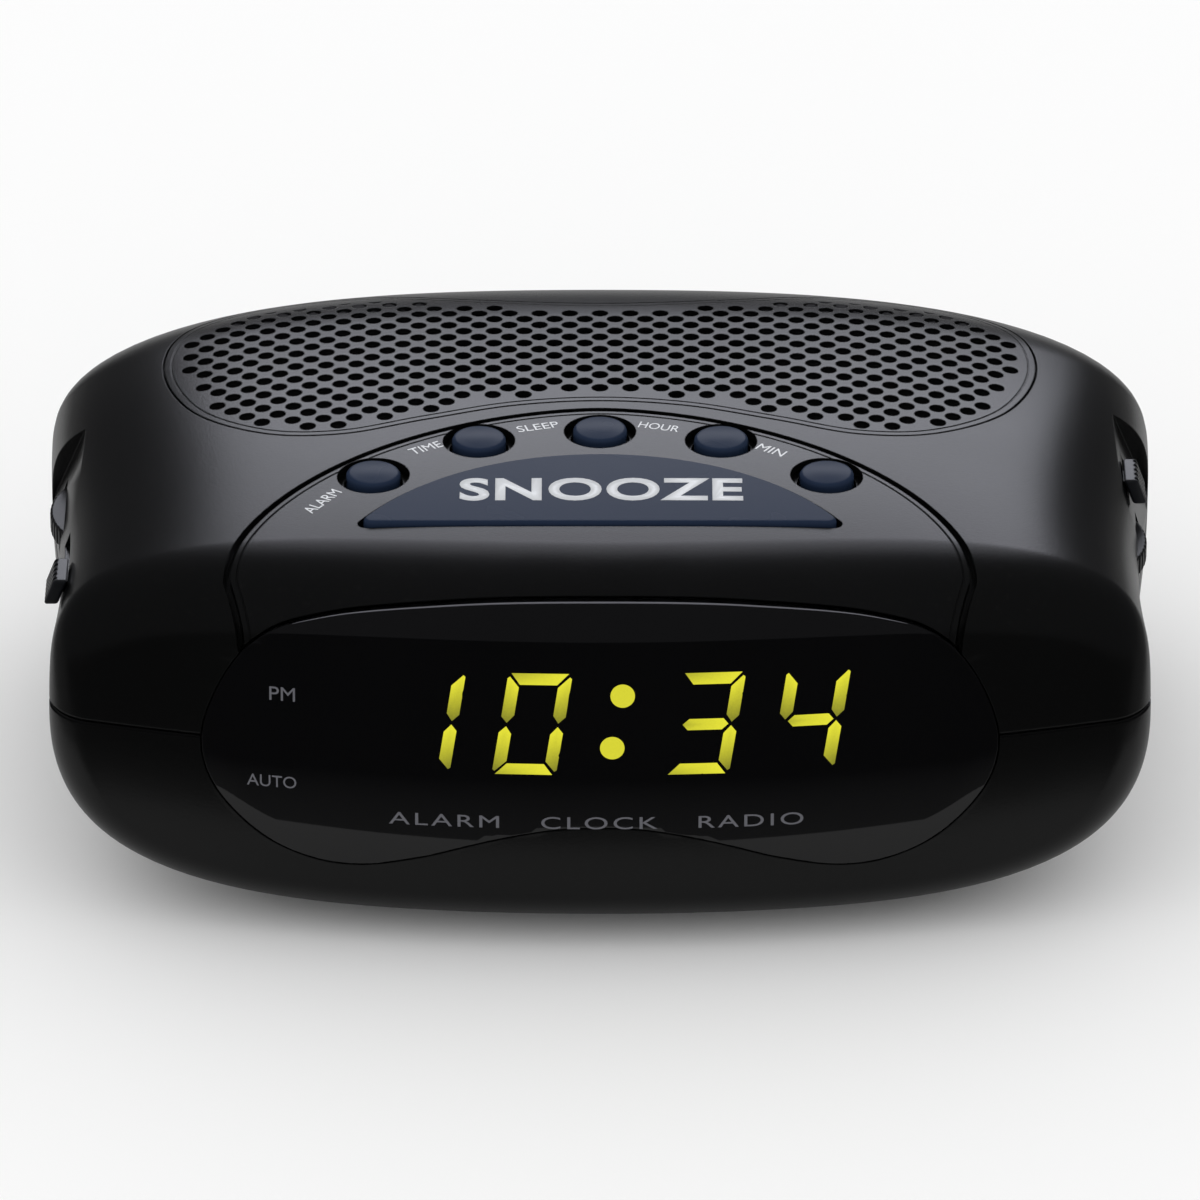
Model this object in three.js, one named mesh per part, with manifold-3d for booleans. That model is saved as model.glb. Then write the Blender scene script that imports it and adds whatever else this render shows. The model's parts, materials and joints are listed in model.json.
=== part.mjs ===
// A mains clock radio, in millimetres.
// +Z is up, the front faces -Y and +X is to the right of someone facing it.
// The origin is on the table, under the middle of the radio.

import * as THREE from "three";
import { mergeVertices } from "three/addons/utils/BufferGeometryUtils.js";
import Module from "manifold-3d";

const wasm = await Module();
wasm.setup();

// ---------------------------------------------------------------- driving dimensions

const WIDTH = 182;
const DEPTH = 125;
const HEIGHT = 63;
const STAND = 2; // height of the underside above the table
const GIRTH_Z = 34.5; // height at which the case is widest
const PARTING_Z = 36; // joint between the two half shells
const WALL = 2.6;
const GAP = 0.3; // space left between pieces that meet
const SKIN = 1.3; // thickness of the lens, the panel and the grille
const SEAT = SKIN + GAP; // depth of the recesses that hold them

// Plan and section of the case.
const FRONT_NARROWING = 0.7;
const WAIST = { depth: 3.3, y: -20, reach: 54 };
const ROOF = { radius: 620, y: -9.5 };
const UPPER_SECTION = { flat: 3.4, corner: 4.4 };
const LOWER_SECTION = { flat: 4.9, corner: 2.5 };
const FRONT_BOW = 300;
const BACK_BOW = 420;
const FRONT_EDGE = { x: 7, y: 7, top: 8, bottom: 8.5, topRun: 14, bottomRun: 13.4 };
const BACK_EDGE = { x: 32.5, y: 20.3, z: 4.5 };
const FRONT_SLOPE = [
  { z: 12, slope: -0.14 },
  { z: 27.5, slope: 0.052 },
  { z: 34.5, slope: 0.213 },
  { z: 59, slope: 0.425 },
];
const BELLY_Z = 23.3; // height at which the front face stands vertical

// Control panel: half of a rounded arch seen from above.
const PANEL = { halfWidth: 60, length: 50.5, y: -44, power: 1.72, lowest: 48, footNarrowing: 2.6 };

// Snooze bar: a segment of a circle seen from above.
const SNOOZE = { halfWidth: 39, back: -10.8, depth: 22, rise: 0.9, travel: 1.5, sideGap: 0.5, lip: 1.2 };

// Round buttons, by their places on the panel.
const BUTTON = { radius: 4.4, ring: 5.85, rise: 0.9, travel: 1.2, sideGap: 0.4, lip: 1, lipDrop: 0.9 };
const BUTTONS = [
  { name: "alarm", x: -36.5, y: -16.4 },
  { name: "time", x: -19.6, y: -5.1 },
  { name: "sleep", x: 0, y: -1.9 },
  { name: "hour", x: 19.6, y: -5.1 },
  { name: "minute", x: 36.5, y: -16.4 },
];

// Outlines of the grille (x, y) and the lens (x, z): the right half, from one point of the
// centre line to the other. A smooth curve through the points and their mirror images is the edge.
const GRILLE_OUTLINE = [
  [0, 49], [20, 51], [40, 55.3], [58, 52], [69, 42.5], [72, 28],
  [66, 9.5], [54, -0.4], [42, -1.9], [28, 2.6], [14, 7.3], [0, 9],
];
const LENS_OUTLINE = [
  [0, 58.7], [24, 58.1], [44, 56], [53, 53.2], [59, 47.5], [63.6, 36.5],
  [62, 28.6], [54.3, 19.9], [46, 16], [38.5, 15.3], [29, 17.2], [18, 20.7], [8, 23], [0, 23.5],
];
const GRILLE_LEDGE = 2; // shelf left under the grille's edge
const GRILLE_HOLE = { radius: 1.5, pitchX: 10, pitchY: 5 };

// Loudspeaker, hung under the grille.
const SPEAKER = { radius: 25, y: 29, rim: 1.2, rimWidth: 3, depth: 13, throat: 11, magnet: 13.5 };
const SPEAKER_MAGNET_HEIGHT = 8;
const SPEAKER_CLEAR = 6.9; // from the roof down to the rim
const SPEAKER_COLLAR = 1.6;

// Display module and its window.
const DISPLAY = { x: 8, z: 41, halfWidth: 35, halfHeight: 10, depth: 7, lean: 15 };
const DISPLAY_CLEAR = 1.2; // from the back of the lens to the module's nearest end
const WINDOW_MARGIN = 1.5;
const DISPLAY_BOARD = { widthMargin: 3, heightMargin: 1 }; // past the module on each side
const BOARD = 1.6; // thickness of every circuit board

// Thumbwheels and slide switches in the sides.
const WHEEL = { radius: 15, thickness: 3.4, z: 41.5, proud: 1.3, bore: 3.3, notches: 16, notch: 0.7 };
const WHEEL_CLEAR = 0.6;
const WHEEL_SHAFT = 2.9;
const SLIDE_CLEAR = 0.025 * WIDTH; // from the wall in to a slide switch
const KNOB = { length: 8, height: 4.4, proud: 2.3, neck: 3.6, neckHeight: 2 };
const KNOB_GROOVE = { count: 3, width: 1, depth: 0.5, pitch: 2.4 };
const SIDE_REACH = 12; // from the widest line in to where the cuts for the side controls start
const SIDE_FACE = { tilt: 20, z: 53.5, inset: 6.6, bottom: 38 };
const RIGHT_SIDE = { side: 1, wheelY: -5, knobY: 6, knobZ: 49.5, travel: 4, face: [-13, -1, 20, 26] };
const LEFT_SIDE = { side: -1, wheelY: 5, knobY: -26, knobZ: 48.5, travel: 12, face: [-40, -31, 15, 22] };

// Boards and the parts on them.
const MAIN_BOARD = { z: 26.5, front: -34, back: 14, sideClear: 3.4 };
const BOARD_POST = { radius: 2.5, fromEnd: 5, places: [-58, 24, 58] };
const ROTARY_BOX = { width: 14, height: 10.5 };
const KEY_BOARD = { halfWidth: 46, front: -41, back: 1.5, drop: 13.9 };
const KEY_POST = { radius: 2.2, fromSide: 2.5, fromEnd: 3.5 };
const KEY_SWITCH = { size: 6, height: 3.8, plunger: 1.6 };
const KEY_STEM = 1.6; // radius of the stem that a key presses its switch with
const CHIP = { x: -20, y: -20, length: 36, width: 13, height: 4 };
const CAPACITOR = { x: 34, y: -16, radius: 6, height: 15 };
const TRANSFORMER = { x: 46, y: 34, width: 34, height: 29, stack: 14, limb: 6, clear: 2 };
const TRANSFORMER_REST = { width: 8, depth: 12, spread: 12 };
const WINDING = { height: 15, overhang: 5 };
const FERRITE = { x: -44, y: 46, z: 45, length: 42, radius: 4, coil: 5.2, coilLength: 14 };

// Backup battery, its bay and its door.
const BATTERY = { length: 48.5, width: 26.5, height: 17.5, clip: 6 };
const BAY = { x: -28, y: -8, clear: 1.3, wall: 1.4, roof: 24.4 };
const DOOR = { thickness: 1.6, barrel: 1.2, barrelZ: 3.4 };

// Feet, screws and the cable gland.
const FOOT = { radius: 6, x: 54, y: 36, sink: 1.2 };
const SCREW = { shank: 1.5, head: 3, headHeight: 2, sink: 4, length: 36, pilot: 1.8 };
const BOSS = { radius: 4.2 };
const BOSS_PLACES = [[-66, -40], [66, -40], [-68, 37], [68, 37]];
const GLAND = { x: 52, z: 16, flange: 6, flangeDepth: 1.6, neck: 4.2, bore: 2.2, tail: 3 };
const VENT = { width: 1.6, length: 22, pitch: 5, count: 6, x: -30, y: 36 };

// Fineness of the curved surfaces: the outside and what follows it, and the inside of the walls.
const FINE = { section: 5, length: 7, edge: 3, cap: 2 };
const COARSE = { section: 4, length: 5, edge: 2, cap: 1 };
const OUTLINE_STEPS = 40;

// ---------------------------------------------------------------- finishes

const FINISH = {
  satinBlack: { color: 0x2b2b2e, roughness: 0.42, metalness: 0 },
  panelGrey: { color: 0x3a3a3e, roughness: 0.45, metalness: 0 },
  glossBlack: { color: 0x060607, roughness: 0.05, metalness: 0 },
  buttonBlue: { color: 0x3a4252, roughness: 0.35, metalness: 0 },
  darkControl: { color: 0x1c1d20, roughness: 0.5, metalness: 0 },
  rubber: { color: 0x161616, roughness: 0.9, metalness: 0 },
  steel: { color: 0x9a9a9c, roughness: 0.35, metalness: 1 },
  board: { color: 0x8a6a3a, roughness: 0.6, metalness: 0 },
  component: { color: 0x1a1a1c, roughness: 0.5, metalness: 0 },
  displayFace: { color: 0x101010, roughness: 0.3, metalness: 0 },
  winding: { color: 0xb87333, roughness: 0.4, metalness: 0.6 },
  ferrite: { color: 0x3a3836, roughness: 0.7, metalness: 0 },
  paper: { color: 0x26231f, roughness: 0.95, metalness: 0 },
};

// ---------------------------------------------------------------- solids

function solid(geometry) {
  geometry.deleteAttribute("normal");
  geometry.deleteAttribute("uv");
  const merged = mergeVertices(geometry, 1e-4);
  const corners = [];
  for (let i = 0; i < merged.index.count; i += 3) {
    const [a, b, c] = [0, 1, 2].map((k) => merged.index.array[i + k]);
    if (a !== b && b !== c && c !== a) corners.push(a, b, c);
  }
  const make = (triVerts) =>
    new wasm.Manifold(
      new wasm.Mesh({ numProp: 3, vertProperties: merged.attributes.position.array, triVerts }),
    );
  const made = make(new Uint32Array(corners));
  return made.volume() > 0 ? made : make(new Uint32Array(corners.reverse()));
}

function geometryOf(manifold) {
  const mesh = manifold.getMesh();
  const points = [];
  for (let i = 0; i < mesh.vertProperties.length; i += mesh.numProp) {
    points.push(...mesh.vertProperties.slice(i, i + 3));
  }
  const geometry = new THREE.BufferGeometry();
  geometry.setAttribute("position", new THREE.Float32BufferAttribute(points, 3));
  geometry.setIndex(Array.from(mesh.triVerts));
  const flat = geometry.toNonIndexed();
  flat.computeVertexNormals();
  return flat;
}

function box(x0, x1, y0, y1, z0, z1) {
  const geometry = new THREE.BoxGeometry(x1 - x0, y1 - y0, z1 - z0);
  return solid(geometry.translate((x0 + x1) / 2, (y0 + y1) / 2, (z0 + z1) / 2));
}

// A box by its size, standing on z0 and centred on x and y.
function block(width, depth, height, x = 0, y = 0, z0 = 0) {
  return box(x - width / 2, x + width / 2, y - depth / 2, y + depth / 2, z0, z0 + height);
}

function extrude(points, depth) {
  const shape = new THREE.Shape(points.map(([a, b]) => new THREE.Vector2(a, b)));
  return new THREE.ExtrudeGeometry(shape, { depth, bevelEnabled: false });
}

// Prisms of an outline given in (x, y), (x, z) and (y, z).
function prismZ(points, z0, z1) {
  return solid(extrude(points, z1 - z0).translate(0, 0, z0));
}

function prismY(points, y0, y1) {
  return solid(extrude(points, y1 - y0).rotateX(Math.PI / 2).translate(0, y1, 0));
}

function prismX(points, x0, x1) {
  const turn = new THREE.Matrix4().makeBasis(
    new THREE.Vector3(0, 1, 0),
    new THREE.Vector3(0, 0, 1),
    new THREE.Vector3(1, 0, 0),
  );
  return solid(extrude(points, x1 - x0).applyMatrix4(turn).translate(x0, 0, 0));
}

// A turned piece: profile points are (radius, height) up the outside.
function turned(profile, sides) {
  const points = profile.map(([r, z]) => new THREE.Vector2(r, z));
  return new THREE.LatheGeometry(points, sides).rotateX(Math.PI / 2);
}

function rod(radius, z0, z1, x = 0, y = 0, sides = 16) {
  const profile = [[0, z0], [radius, z0], [radius, z1], [0, z1]];
  return solid(turned(profile, sides).translate(x, y, 0));
}

function tube(outer, inner, z0, z1, x = 0, y = 0, sides = 24) {
  const profile = [[inner, z0], [outer, z0], [outer, z1], [inner, z1], [inner, z0]];
  return solid(turned(profile, sides).translate(x, y, 0));
}

function joined(first, ...others) {
  return others.reduce((sum, next) => sum.add(next), first);
}

function cut(first, ...others) {
  return others.reduce((rest, next) => rest.subtract(next), first);
}

function range(count, make) {
  return Array.from({ length: count }, (_, i) => make(i));
}

// ---------------------------------------------------------------- form of the case

// One quarter of a section edge, from the middle of the flat to the girth, as shares of the
// half width and of the height: 1 = share^flat + share^corner, rounded further at each end.
function quarter({ flat, corner }, steps) {
  let low = 0.5;
  let high = 1;
  for (let i = 0; i < 40; i++) {
    const middle = (low + high) / 2;
    if (middle ** flat + middle ** corner > 1) high = middle;
    else low = middle;
  }
  const over = range(steps, (i) => {
    const across = (low * i) / (steps - 1);
    return [across, (1 - across ** flat) ** (1 / corner)];
  });
  const down = range(steps - 1, (i) => {
    const up = low * (1 - (i + 1) / (steps - 1));
    return [(1 - up ** corner) ** (1 / flat), up];
  });
  return [...over, ...down];
}

// The whole section, clockwise from the top as the front sees it, with negative heights below the girth.
function sectionEdge(steps) {
  const upper = quarter(UPPER_SECTION, steps);
  const lower = quarter(LOWER_SECTION, steps).map(([x, z]) => [x, -z]).reverse();
  const right = [...upper, ...lower.slice(1)];
  const left = right.slice(1, -1).map(([x, z]) => [-x, z]).reverse();
  return [...right, ...left];
}

// How far the front face stands behind its foremost line at a height.
function frontSetback(z) {
  const slopeAt = (h) => {
    if (h <= FRONT_SLOPE[0].z) return FRONT_SLOPE[0].slope;
    const last = FRONT_SLOPE.length - 2;
    const found = FRONT_SLOPE.findIndex((p, i) => i <= last && h < FRONT_SLOPE[i + 1].z);
    const i = found < 0 ? last : found;
    const [a, b] = [FRONT_SLOPE[i], FRONT_SLOPE[i + 1]];
    return a.slope + ((b.slope - a.slope) * (h - a.z)) / (b.z - a.z);
  };
  const steps = 40;
  const step = (z - BELLY_Z) / steps;
  return range(steps, (i) => slopeAt(BELLY_Z + (i + 0.5) * step) * step).reduce((a, b) => a + b);
}

function frontY(x, z, inset = 0) {
  return -DEPTH / 2 + (x * x) / (2 * FRONT_BOW) + frontSetback(z) + inset;
}

function backY(x, inset = 0) {
  return DEPTH / 2 - (x * x) / (2 * BACK_BOW) - inset;
}

function halfWidth(y, inset = 0) {
  const along = THREE.MathUtils.clamp(y / DEPTH + 0.5, 0, 1);
  const away = Math.min(Math.abs(y - WAIST.y) / WAIST.reach, 1);
  const dip = WAIST.depth * Math.cos((Math.PI / 2) * away) ** 2;
  return WIDTH / 2 - FRONT_NARROWING * (1 - along) - dip - inset;
}

function roofZ(y, inset = 0) {
  return HEIGHT - (y - ROOF.y) ** 2 / (2 * ROOF.radius) - inset;
}

// Height of the case's top at a place, away from its front and back edges.
function surfaceZ(x, y) {
  const share = Math.min(Math.abs(x) / halfWidth(y), 1);
  const { flat, corner } = UPPER_SECTION;
  return GIRTH_Z + (roofZ(y) - GIRTH_Z) * (1 - share ** flat) ** (1 / corner);
}

// Half width of the case at a height above the girth.
function sideX(y, z) {
  const share = Math.min(Math.max(z - GIRTH_Z, 0) / (roofZ(y) - GIRTH_Z), 1);
  const { flat, corner } = UPPER_SECTION;
  return halfWidth(y) * (1 - share ** corner) ** (1 / flat);
}

// Height of the underside at a place.
function undersideZ(x, y) {
  const share = Math.min(Math.abs(x) / halfWidth(y), 1);
  const { flat, corner } = LOWER_SECTION;
  return GIRTH_Z - (GIRTH_Z - STAND) * (1 - share ** flat) ** (1 / corner);
}

// One point of a cross ring. run is 0 at the front of the sides and 1 at their back, and turn
// is the angle round the front edge (below 0) or the back edge (above 0).
function ringPoint([ux, uz], run, turn, inset) {
  const up = uz >= 0;
  const highness = Math.max(0, uz) ** 4;
  const lowness = Math.max(0, -uz);
  const { y: sideRun, topRun, bottomRun } = FRONT_EDGE;
  const frontRun = sideRun + (topRun - sideRun) * highness + (bottomRun - sideRun) * lowness - inset;
  const backRun = BACK_EDGE.y - inset;
  const bend = 1 - Math.cos(turn);
  const front = turn < 0;
  const inX = (front ? FRONT_EDGE.x : BACK_EDGE.x) - inset;
  const frontZ = up ? FRONT_EDGE.top : FRONT_EDGE.bottom;
  const inZ = Math.max((front ? frontZ : BACK_EDGE.z) - inset, 0.5);
  let x = (ux * WIDTH) / 2;
  let y = 0;
  let z = GIRTH_Z + uz * (up ? HEIGHT - GIRTH_Z : GIRTH_Z - STAND);
  for (let i = 0; i < 3; i++) {
    const start = frontY(x, z, inset) + frontRun * (1 - Math.sin(Math.max(-turn, 0)));
    const end = backY(x, inset) - backRun * (1 - Math.sin(Math.max(turn, 0)));
    y = start + (end - start) * run;
    x = ux * (halfWidth(y, inset) - inX * bend);
    z = GIRTH_Z + uz * ((up ? roofZ(y, inset) - GIRTH_Z : GIRTH_Z - STAND - inset) - inZ * bend);
  }
  return [x, y, z];
}

// The case as one closed solid, with its whole surface moved in by an inset.
const bodies = new Map();
function body(inset = 0, fineness = FINE) {
  const key = `${inset} ${fineness.section}`;
  if (!bodies.has(key)) bodies.set(key, makeBody(inset, fineness));
  return bodies.get(key);
}

function makeBody(inset, fineness) {
  const edge = sectionEdge(fineness.section);
  const ring = (run, turn) => edge.map((unit) => ringPoint(unit, run, turn, inset));
  const shrunk = (outer, share, depthAt) =>
    outer.map(([x, , z]) => {
      const [sx, sz] = [x * share, GIRTH_Z + (z - GIRTH_Z) * share];
      return [sx, depthAt(sx, sz), sz];
    });
  const quarterTurn = Math.PI / 2;
  const frontRim = ring(0, -quarterTurn);
  const backRim = ring(1, quarterTurn);
  const face = (x, z) => frontY(x, z, inset);
  const rear = (x) => backY(x, inset);
  const rings = [
    ...range(fineness.cap, (i) => shrunk(frontRim, (i + 1) / (fineness.cap + 1), face)),
    frontRim,
    ...range(fineness.edge - 1, (i) => ring(0, -quarterTurn * (1 - (i + 1) / fineness.edge))),
    ...range(fineness.length + 1, (i) => ring(i / fineness.length, 0)),
    ...range(fineness.edge - 1, (i) => ring(1, (quarterTurn * (i + 1)) / fineness.edge)),
    backRim,
    shrunk(backRim, 0.5, rear),
  ];
  const count = edge.length;
  const points = [...rings.flat(), [0, face(0, GIRTH_Z), GIRTH_Z], [0, rear(0), GIRTH_Z]];
  const [nose, tail] = [rings.length * count, rings.length * count + 1];
  const index = [];
  for (let i = 0; i < count; i++) {
    const j = (i + 1) % count;
    for (let r = 0; r + 1 < rings.length; r++) {
      const [a, b, c, d] = [r * count + i, r * count + j, (r + 1) * count + i, (r + 1) * count + j];
      index.push(a, b, c, b, d, c);
    }
    index.push(nose, j, i);
    index.push(tail, (rings.length - 1) * count + i, (rings.length - 1) * count + j);
  }
  const geometry = new THREE.BufferGeometry();
  geometry.setAttribute("position", new THREE.Float32BufferAttribute(points.flat(), 3));
  geometry.setIndex(index);
  return solid(geometry);
}

const hollow = () => body(WALL, COARSE);

// ---------------------------------------------------------------- outlines

// A smooth closed outline through half outline points and their mirror images, grown by an offset.
function mirrored(half, offset = 0) {
  const other = half.slice(1, -1).map(([x, v]) => [-x, v]).reverse();
  const through = [...half, ...other].map(([x, v]) => new THREE.Vector3(x, v, 0));
  const curve = new THREE.CatmullRomCurve3(through, true, "centripetal");
  return range(OUTLINE_STEPS, (i) => {
    const at = curve.getPointAt(i / OUTLINE_STEPS);
    const along = curve.getTangentAt(i / OUTLINE_STEPS);
    return [at.x - along.y * offset, at.y + along.x * offset];
  });
}

// The panel's outline: the rounded arch, with its sides running straight on towards the front.
function panelOutline(offset = 0) {
  const { halfWidth: half, length, y, power } = PANEL;
  const steps = OUTLINE_STEPS / 2;
  const arch = range(steps + 1, (i) => {
    const angle = (Math.PI * i) / steps;
    const [c, s] = [Math.cos(angle), Math.sin(angle)];
    return [
      Math.sign(c) * (half + offset) * Math.abs(c) ** (2 / power),
      y + (length + offset) * s ** (2 / power),
    ];
  });
  const foot = half + offset - PANEL.footNarrowing;
  const footY = y - FRONT_EDGE.top;
  return [...arch, [-foot, footY], [-foot, -DEPTH], [foot, -DEPTH], [foot, footY]];
}

function snoozeOutline(offset = 0) {
  const { halfWidth: half, back, depth } = SNOOZE;
  const radius = (half * half + depth * depth) / (2 * depth) + offset;
  const centre = back - radius + offset;
  const chord = back - depth - offset;
  const opening = Math.acos((chord - centre) / radius);
  const steps = 16;
  return range(steps + 1, (i) => {
    const angle = opening * (1 - (2 * i) / steps);
    return [-radius * Math.sin(angle), centre + radius * Math.cos(angle)];
  });
}

const FAR = 2 * Math.max(WIDTH, DEPTH, HEIGHT);
const grilleBlank = (offset) => prismZ(mirrored(GRILLE_OUTLINE, offset), GIRTH_Z, FAR);
const lensBlank = (offset) => prismY(mirrored(LENS_OUTLINE, offset), -FAR, -DEPTH / 4);
const above = (z) => box(-FAR, FAR, -FAR, FAR, z, FAR);
const below = (z) => box(-FAR, FAR, -FAR, FAR, -FAR, z);

// The piece of the case's skin inside an outline, from its surface down to a depth.
const skin = (blank, depth) => body().intersect(blank).subtract(body(depth));

function panelBlank(offset) {
  const arch = prismZ(panelOutline(offset), PANEL.lowest - offset, FAR);
  return cut(arch, lensBlank(GAP - offset));
}

// ---------------------------------------------------------------- places shared by several pieces

const keyBoardZ = HEIGHT - KEY_BOARD.drop;
const keyTopZ = keyBoardZ + BOARD + KEY_SWITCH.height + GAP;
const speakerZ = roofZ(SPEAKER.y) - SPEAKER_CLEAR;
const displayY = frontY(DISPLAY.x + DISPLAY.halfWidth, DISPLAY.z, SKIN) + DISPLAY_CLEAR;
const boardTopZ = MAIN_BOARD.z + BOARD;
const transformerEdge = TRANSFORMER.x + TRANSFORMER.width / 2;
const transformerZ = undersideZ(transformerEdge, TRANSFORMER.y) + WALL + TRANSFORMER.clear;
const bay = {
  x0: BAY.x - BATTERY.length / 2 - BAY.clear,
  x1: BAY.x + BATTERY.length / 2 + BATTERY.clip + BAY.clear,
  y0: BAY.y - BATTERY.width / 2 - BAY.clear,
  y1: BAY.y + BATTERY.width / 2 + BAY.clear,
};
const hingeY = bay.y1 - DOOR.barrel - GAP;
const footHeight = undersideZ(FOOT.x, FOOT.y) + FOOT.sink;
const footPlaces = [[-FOOT.x, -FOOT.y], [FOOT.x, -FOOT.y], [-FOOT.x, FOOT.y], [FOOT.x, FOOT.y]];
const screwSeatZ = ([x, y]) => undersideZ(x, y) + SCREW.sink;

function wheelCentre({ side, wheelY }) {
  const reach = sideX(wheelY, WHEEL.z + WHEEL.thickness / 2) + WHEEL.proud;
  return [side * (reach - WHEEL.radius), wheelY];
}

// A flat face cut across the upper corner of one side, where the controls of that side lie.
function sideFace({ side, face }) {
  const [frontLow, frontHigh, backHigh, backLow] = face;
  const top = SIDE_FACE.z + 3;
  const { bottom } = SIDE_FACE;
  const outline = [[frontLow, bottom], [backLow, bottom], [backHigh, top], [frontHigh, top]];
  const edge = WIDTH / 2 - SIDE_FACE.inset;
  const lean = Math.tan(THREE.MathUtils.degToRad(SIDE_FACE.tilt));
  const slant = [
    [edge - (top - SIDE_FACE.z) * lean, top],
    [FAR, top],
    [FAR, bottom],
    [edge + (SIDE_FACE.z - bottom) * lean, bottom],
  ];
  const wedge = prismY(slant, -DEPTH, DEPTH).intersect(prismX(outline, 0, FAR));
  return side > 0 ? wedge : wedge.mirror([1, 0, 0]);
}

function sideFaceX(z) {
  const lean = Math.tan(THREE.MathUtils.degToRad(SIDE_FACE.tilt));
  return WIDTH / 2 - SIDE_FACE.inset + (SIDE_FACE.z - z) * lean;
}

// A box beside the middle plane, at the same distance on either side of it.
function sideBox(side, x0, x1, y0, y1, z0, z1) {
  return side > 0 ? box(x0, x1, y0, y1, z0, z1) : box(-x1, -x0, y0, y1, z0, z1);
}

// The holes that one side's controls need in the wall.
function sideHoles(place) {
  const { side, knobY, knobZ, travel } = place;
  const inner = WIDTH / 2 - SIDE_REACH;
  const wheelSlot = rod(
    WHEEL.radius + WHEEL_CLEAR, WHEEL.z - WHEEL_CLEAR, WHEEL.z + WHEEL.thickness + WHEEL_CLEAR,
    ...wheelCentre(place), 32,
  );
  const knobSlot = sideBox(
    side, inner, FAR, knobY - KNOB.neck / 2 - GAP, knobY + KNOB.neck / 2 + travel + GAP,
    knobZ - KNOB.neckHeight / 2 - GAP, knobZ + KNOB.neckHeight / 2 + GAP,
  );
  return joined(wheelSlot, knobSlot);
}

const displayWindow = () =>
  box(
    DISPLAY.x - DISPLAY.halfWidth - WINDOW_MARGIN,
    DISPLAY.x + DISPLAY.halfWidth + WINDOW_MARGIN,
    -FAR,
    displayY + DISPLAY.depth,
    DISPLAY.z - DISPLAY.halfHeight - WINDOW_MARGIN,
    DISPLAY.z + DISPLAY.halfHeight + WINDOW_MARGIN,
  );

// ---------------------------------------------------------------- shells

function topShell() {
  const shell = cut(body().intersect(above(PARTING_Z + GAP / 2)), hollow());
  const collar = tube(
    SPEAKER.radius + GAP + SPEAKER_COLLAR, SPEAKER.radius + GAP,
    speakerZ - SPEAKER.rim, HEIGHT, 0, SPEAKER.y, 24,
  );
  const bosses = BOSS_PLACES.map(([x, y]) => rod(BOSS.radius, PARTING_Z + GAP / 2, HEIGHT, x, y, 12));
  const postX = KEY_BOARD.halfWidth - KEY_POST.fromSide;
  const posts = [KEY_BOARD.front + KEY_POST.fromEnd, KEY_BOARD.back - KEY_POST.fromEnd].flatMap((y) =>
    [-postX, postX].map((x) => rod(KEY_POST.radius, keyBoardZ + BOARD + GAP, HEIGHT, x, y, 10)),
  );
  const keyRoom = joined(
    prismZ(snoozeOutline(SNOOZE.lip + GAP), keyTopZ, FAR),
    ...BUTTONS.map(({ x, y }) => rod(BUTTON.radius + BUTTON.lip + GAP, keyTopZ, FAR, x, y, 14)),
  );
  const sidePads = [RIGHT_SIDE, LEFT_SIDE].map((at) => sideFace(at).translate([-at.side * WALL, 0, 0]));
  const added = joined(cut(joined(collar, ...posts), keyRoom), ...bosses, ...sidePads);
  const inside = added.intersect(body(SEAT + GAP, COARSE));
  const speakerHole = rod(SPEAKER.radius - SPEAKER.rimWidth, speakerZ, FAR, 0, SPEAKER.y, 24);
  return cut(
    joined(shell, inside),
    cut(grilleBlank(0), body(SEAT)),
    cut(panelBlank(0), body(SEAT)),
    cut(lensBlank(0), body(SEAT)),
    displayWindow(),
    speakerHole.intersect(grilleBlank(-GRILLE_LEDGE)),
    prismZ(snoozeOutline(SNOOZE.sideGap), keyTopZ, FAR),
    ...BUTTONS.map(({ x, y }) => rod(BUTTON.radius + BUTTON.sideGap, keyTopZ, FAR, x, y, 14)),
    ...BOSS_PLACES.map((at) => rod(SCREW.pilot, 0, screwSeatZ(at) + SCREW.length + GAP, ...at, 10)),
    ...[RIGHT_SIDE, LEFT_SIDE].map(sideFace),
    ...[RIGHT_SIDE, LEFT_SIDE].map(sideHoles),
  );
}

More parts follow.
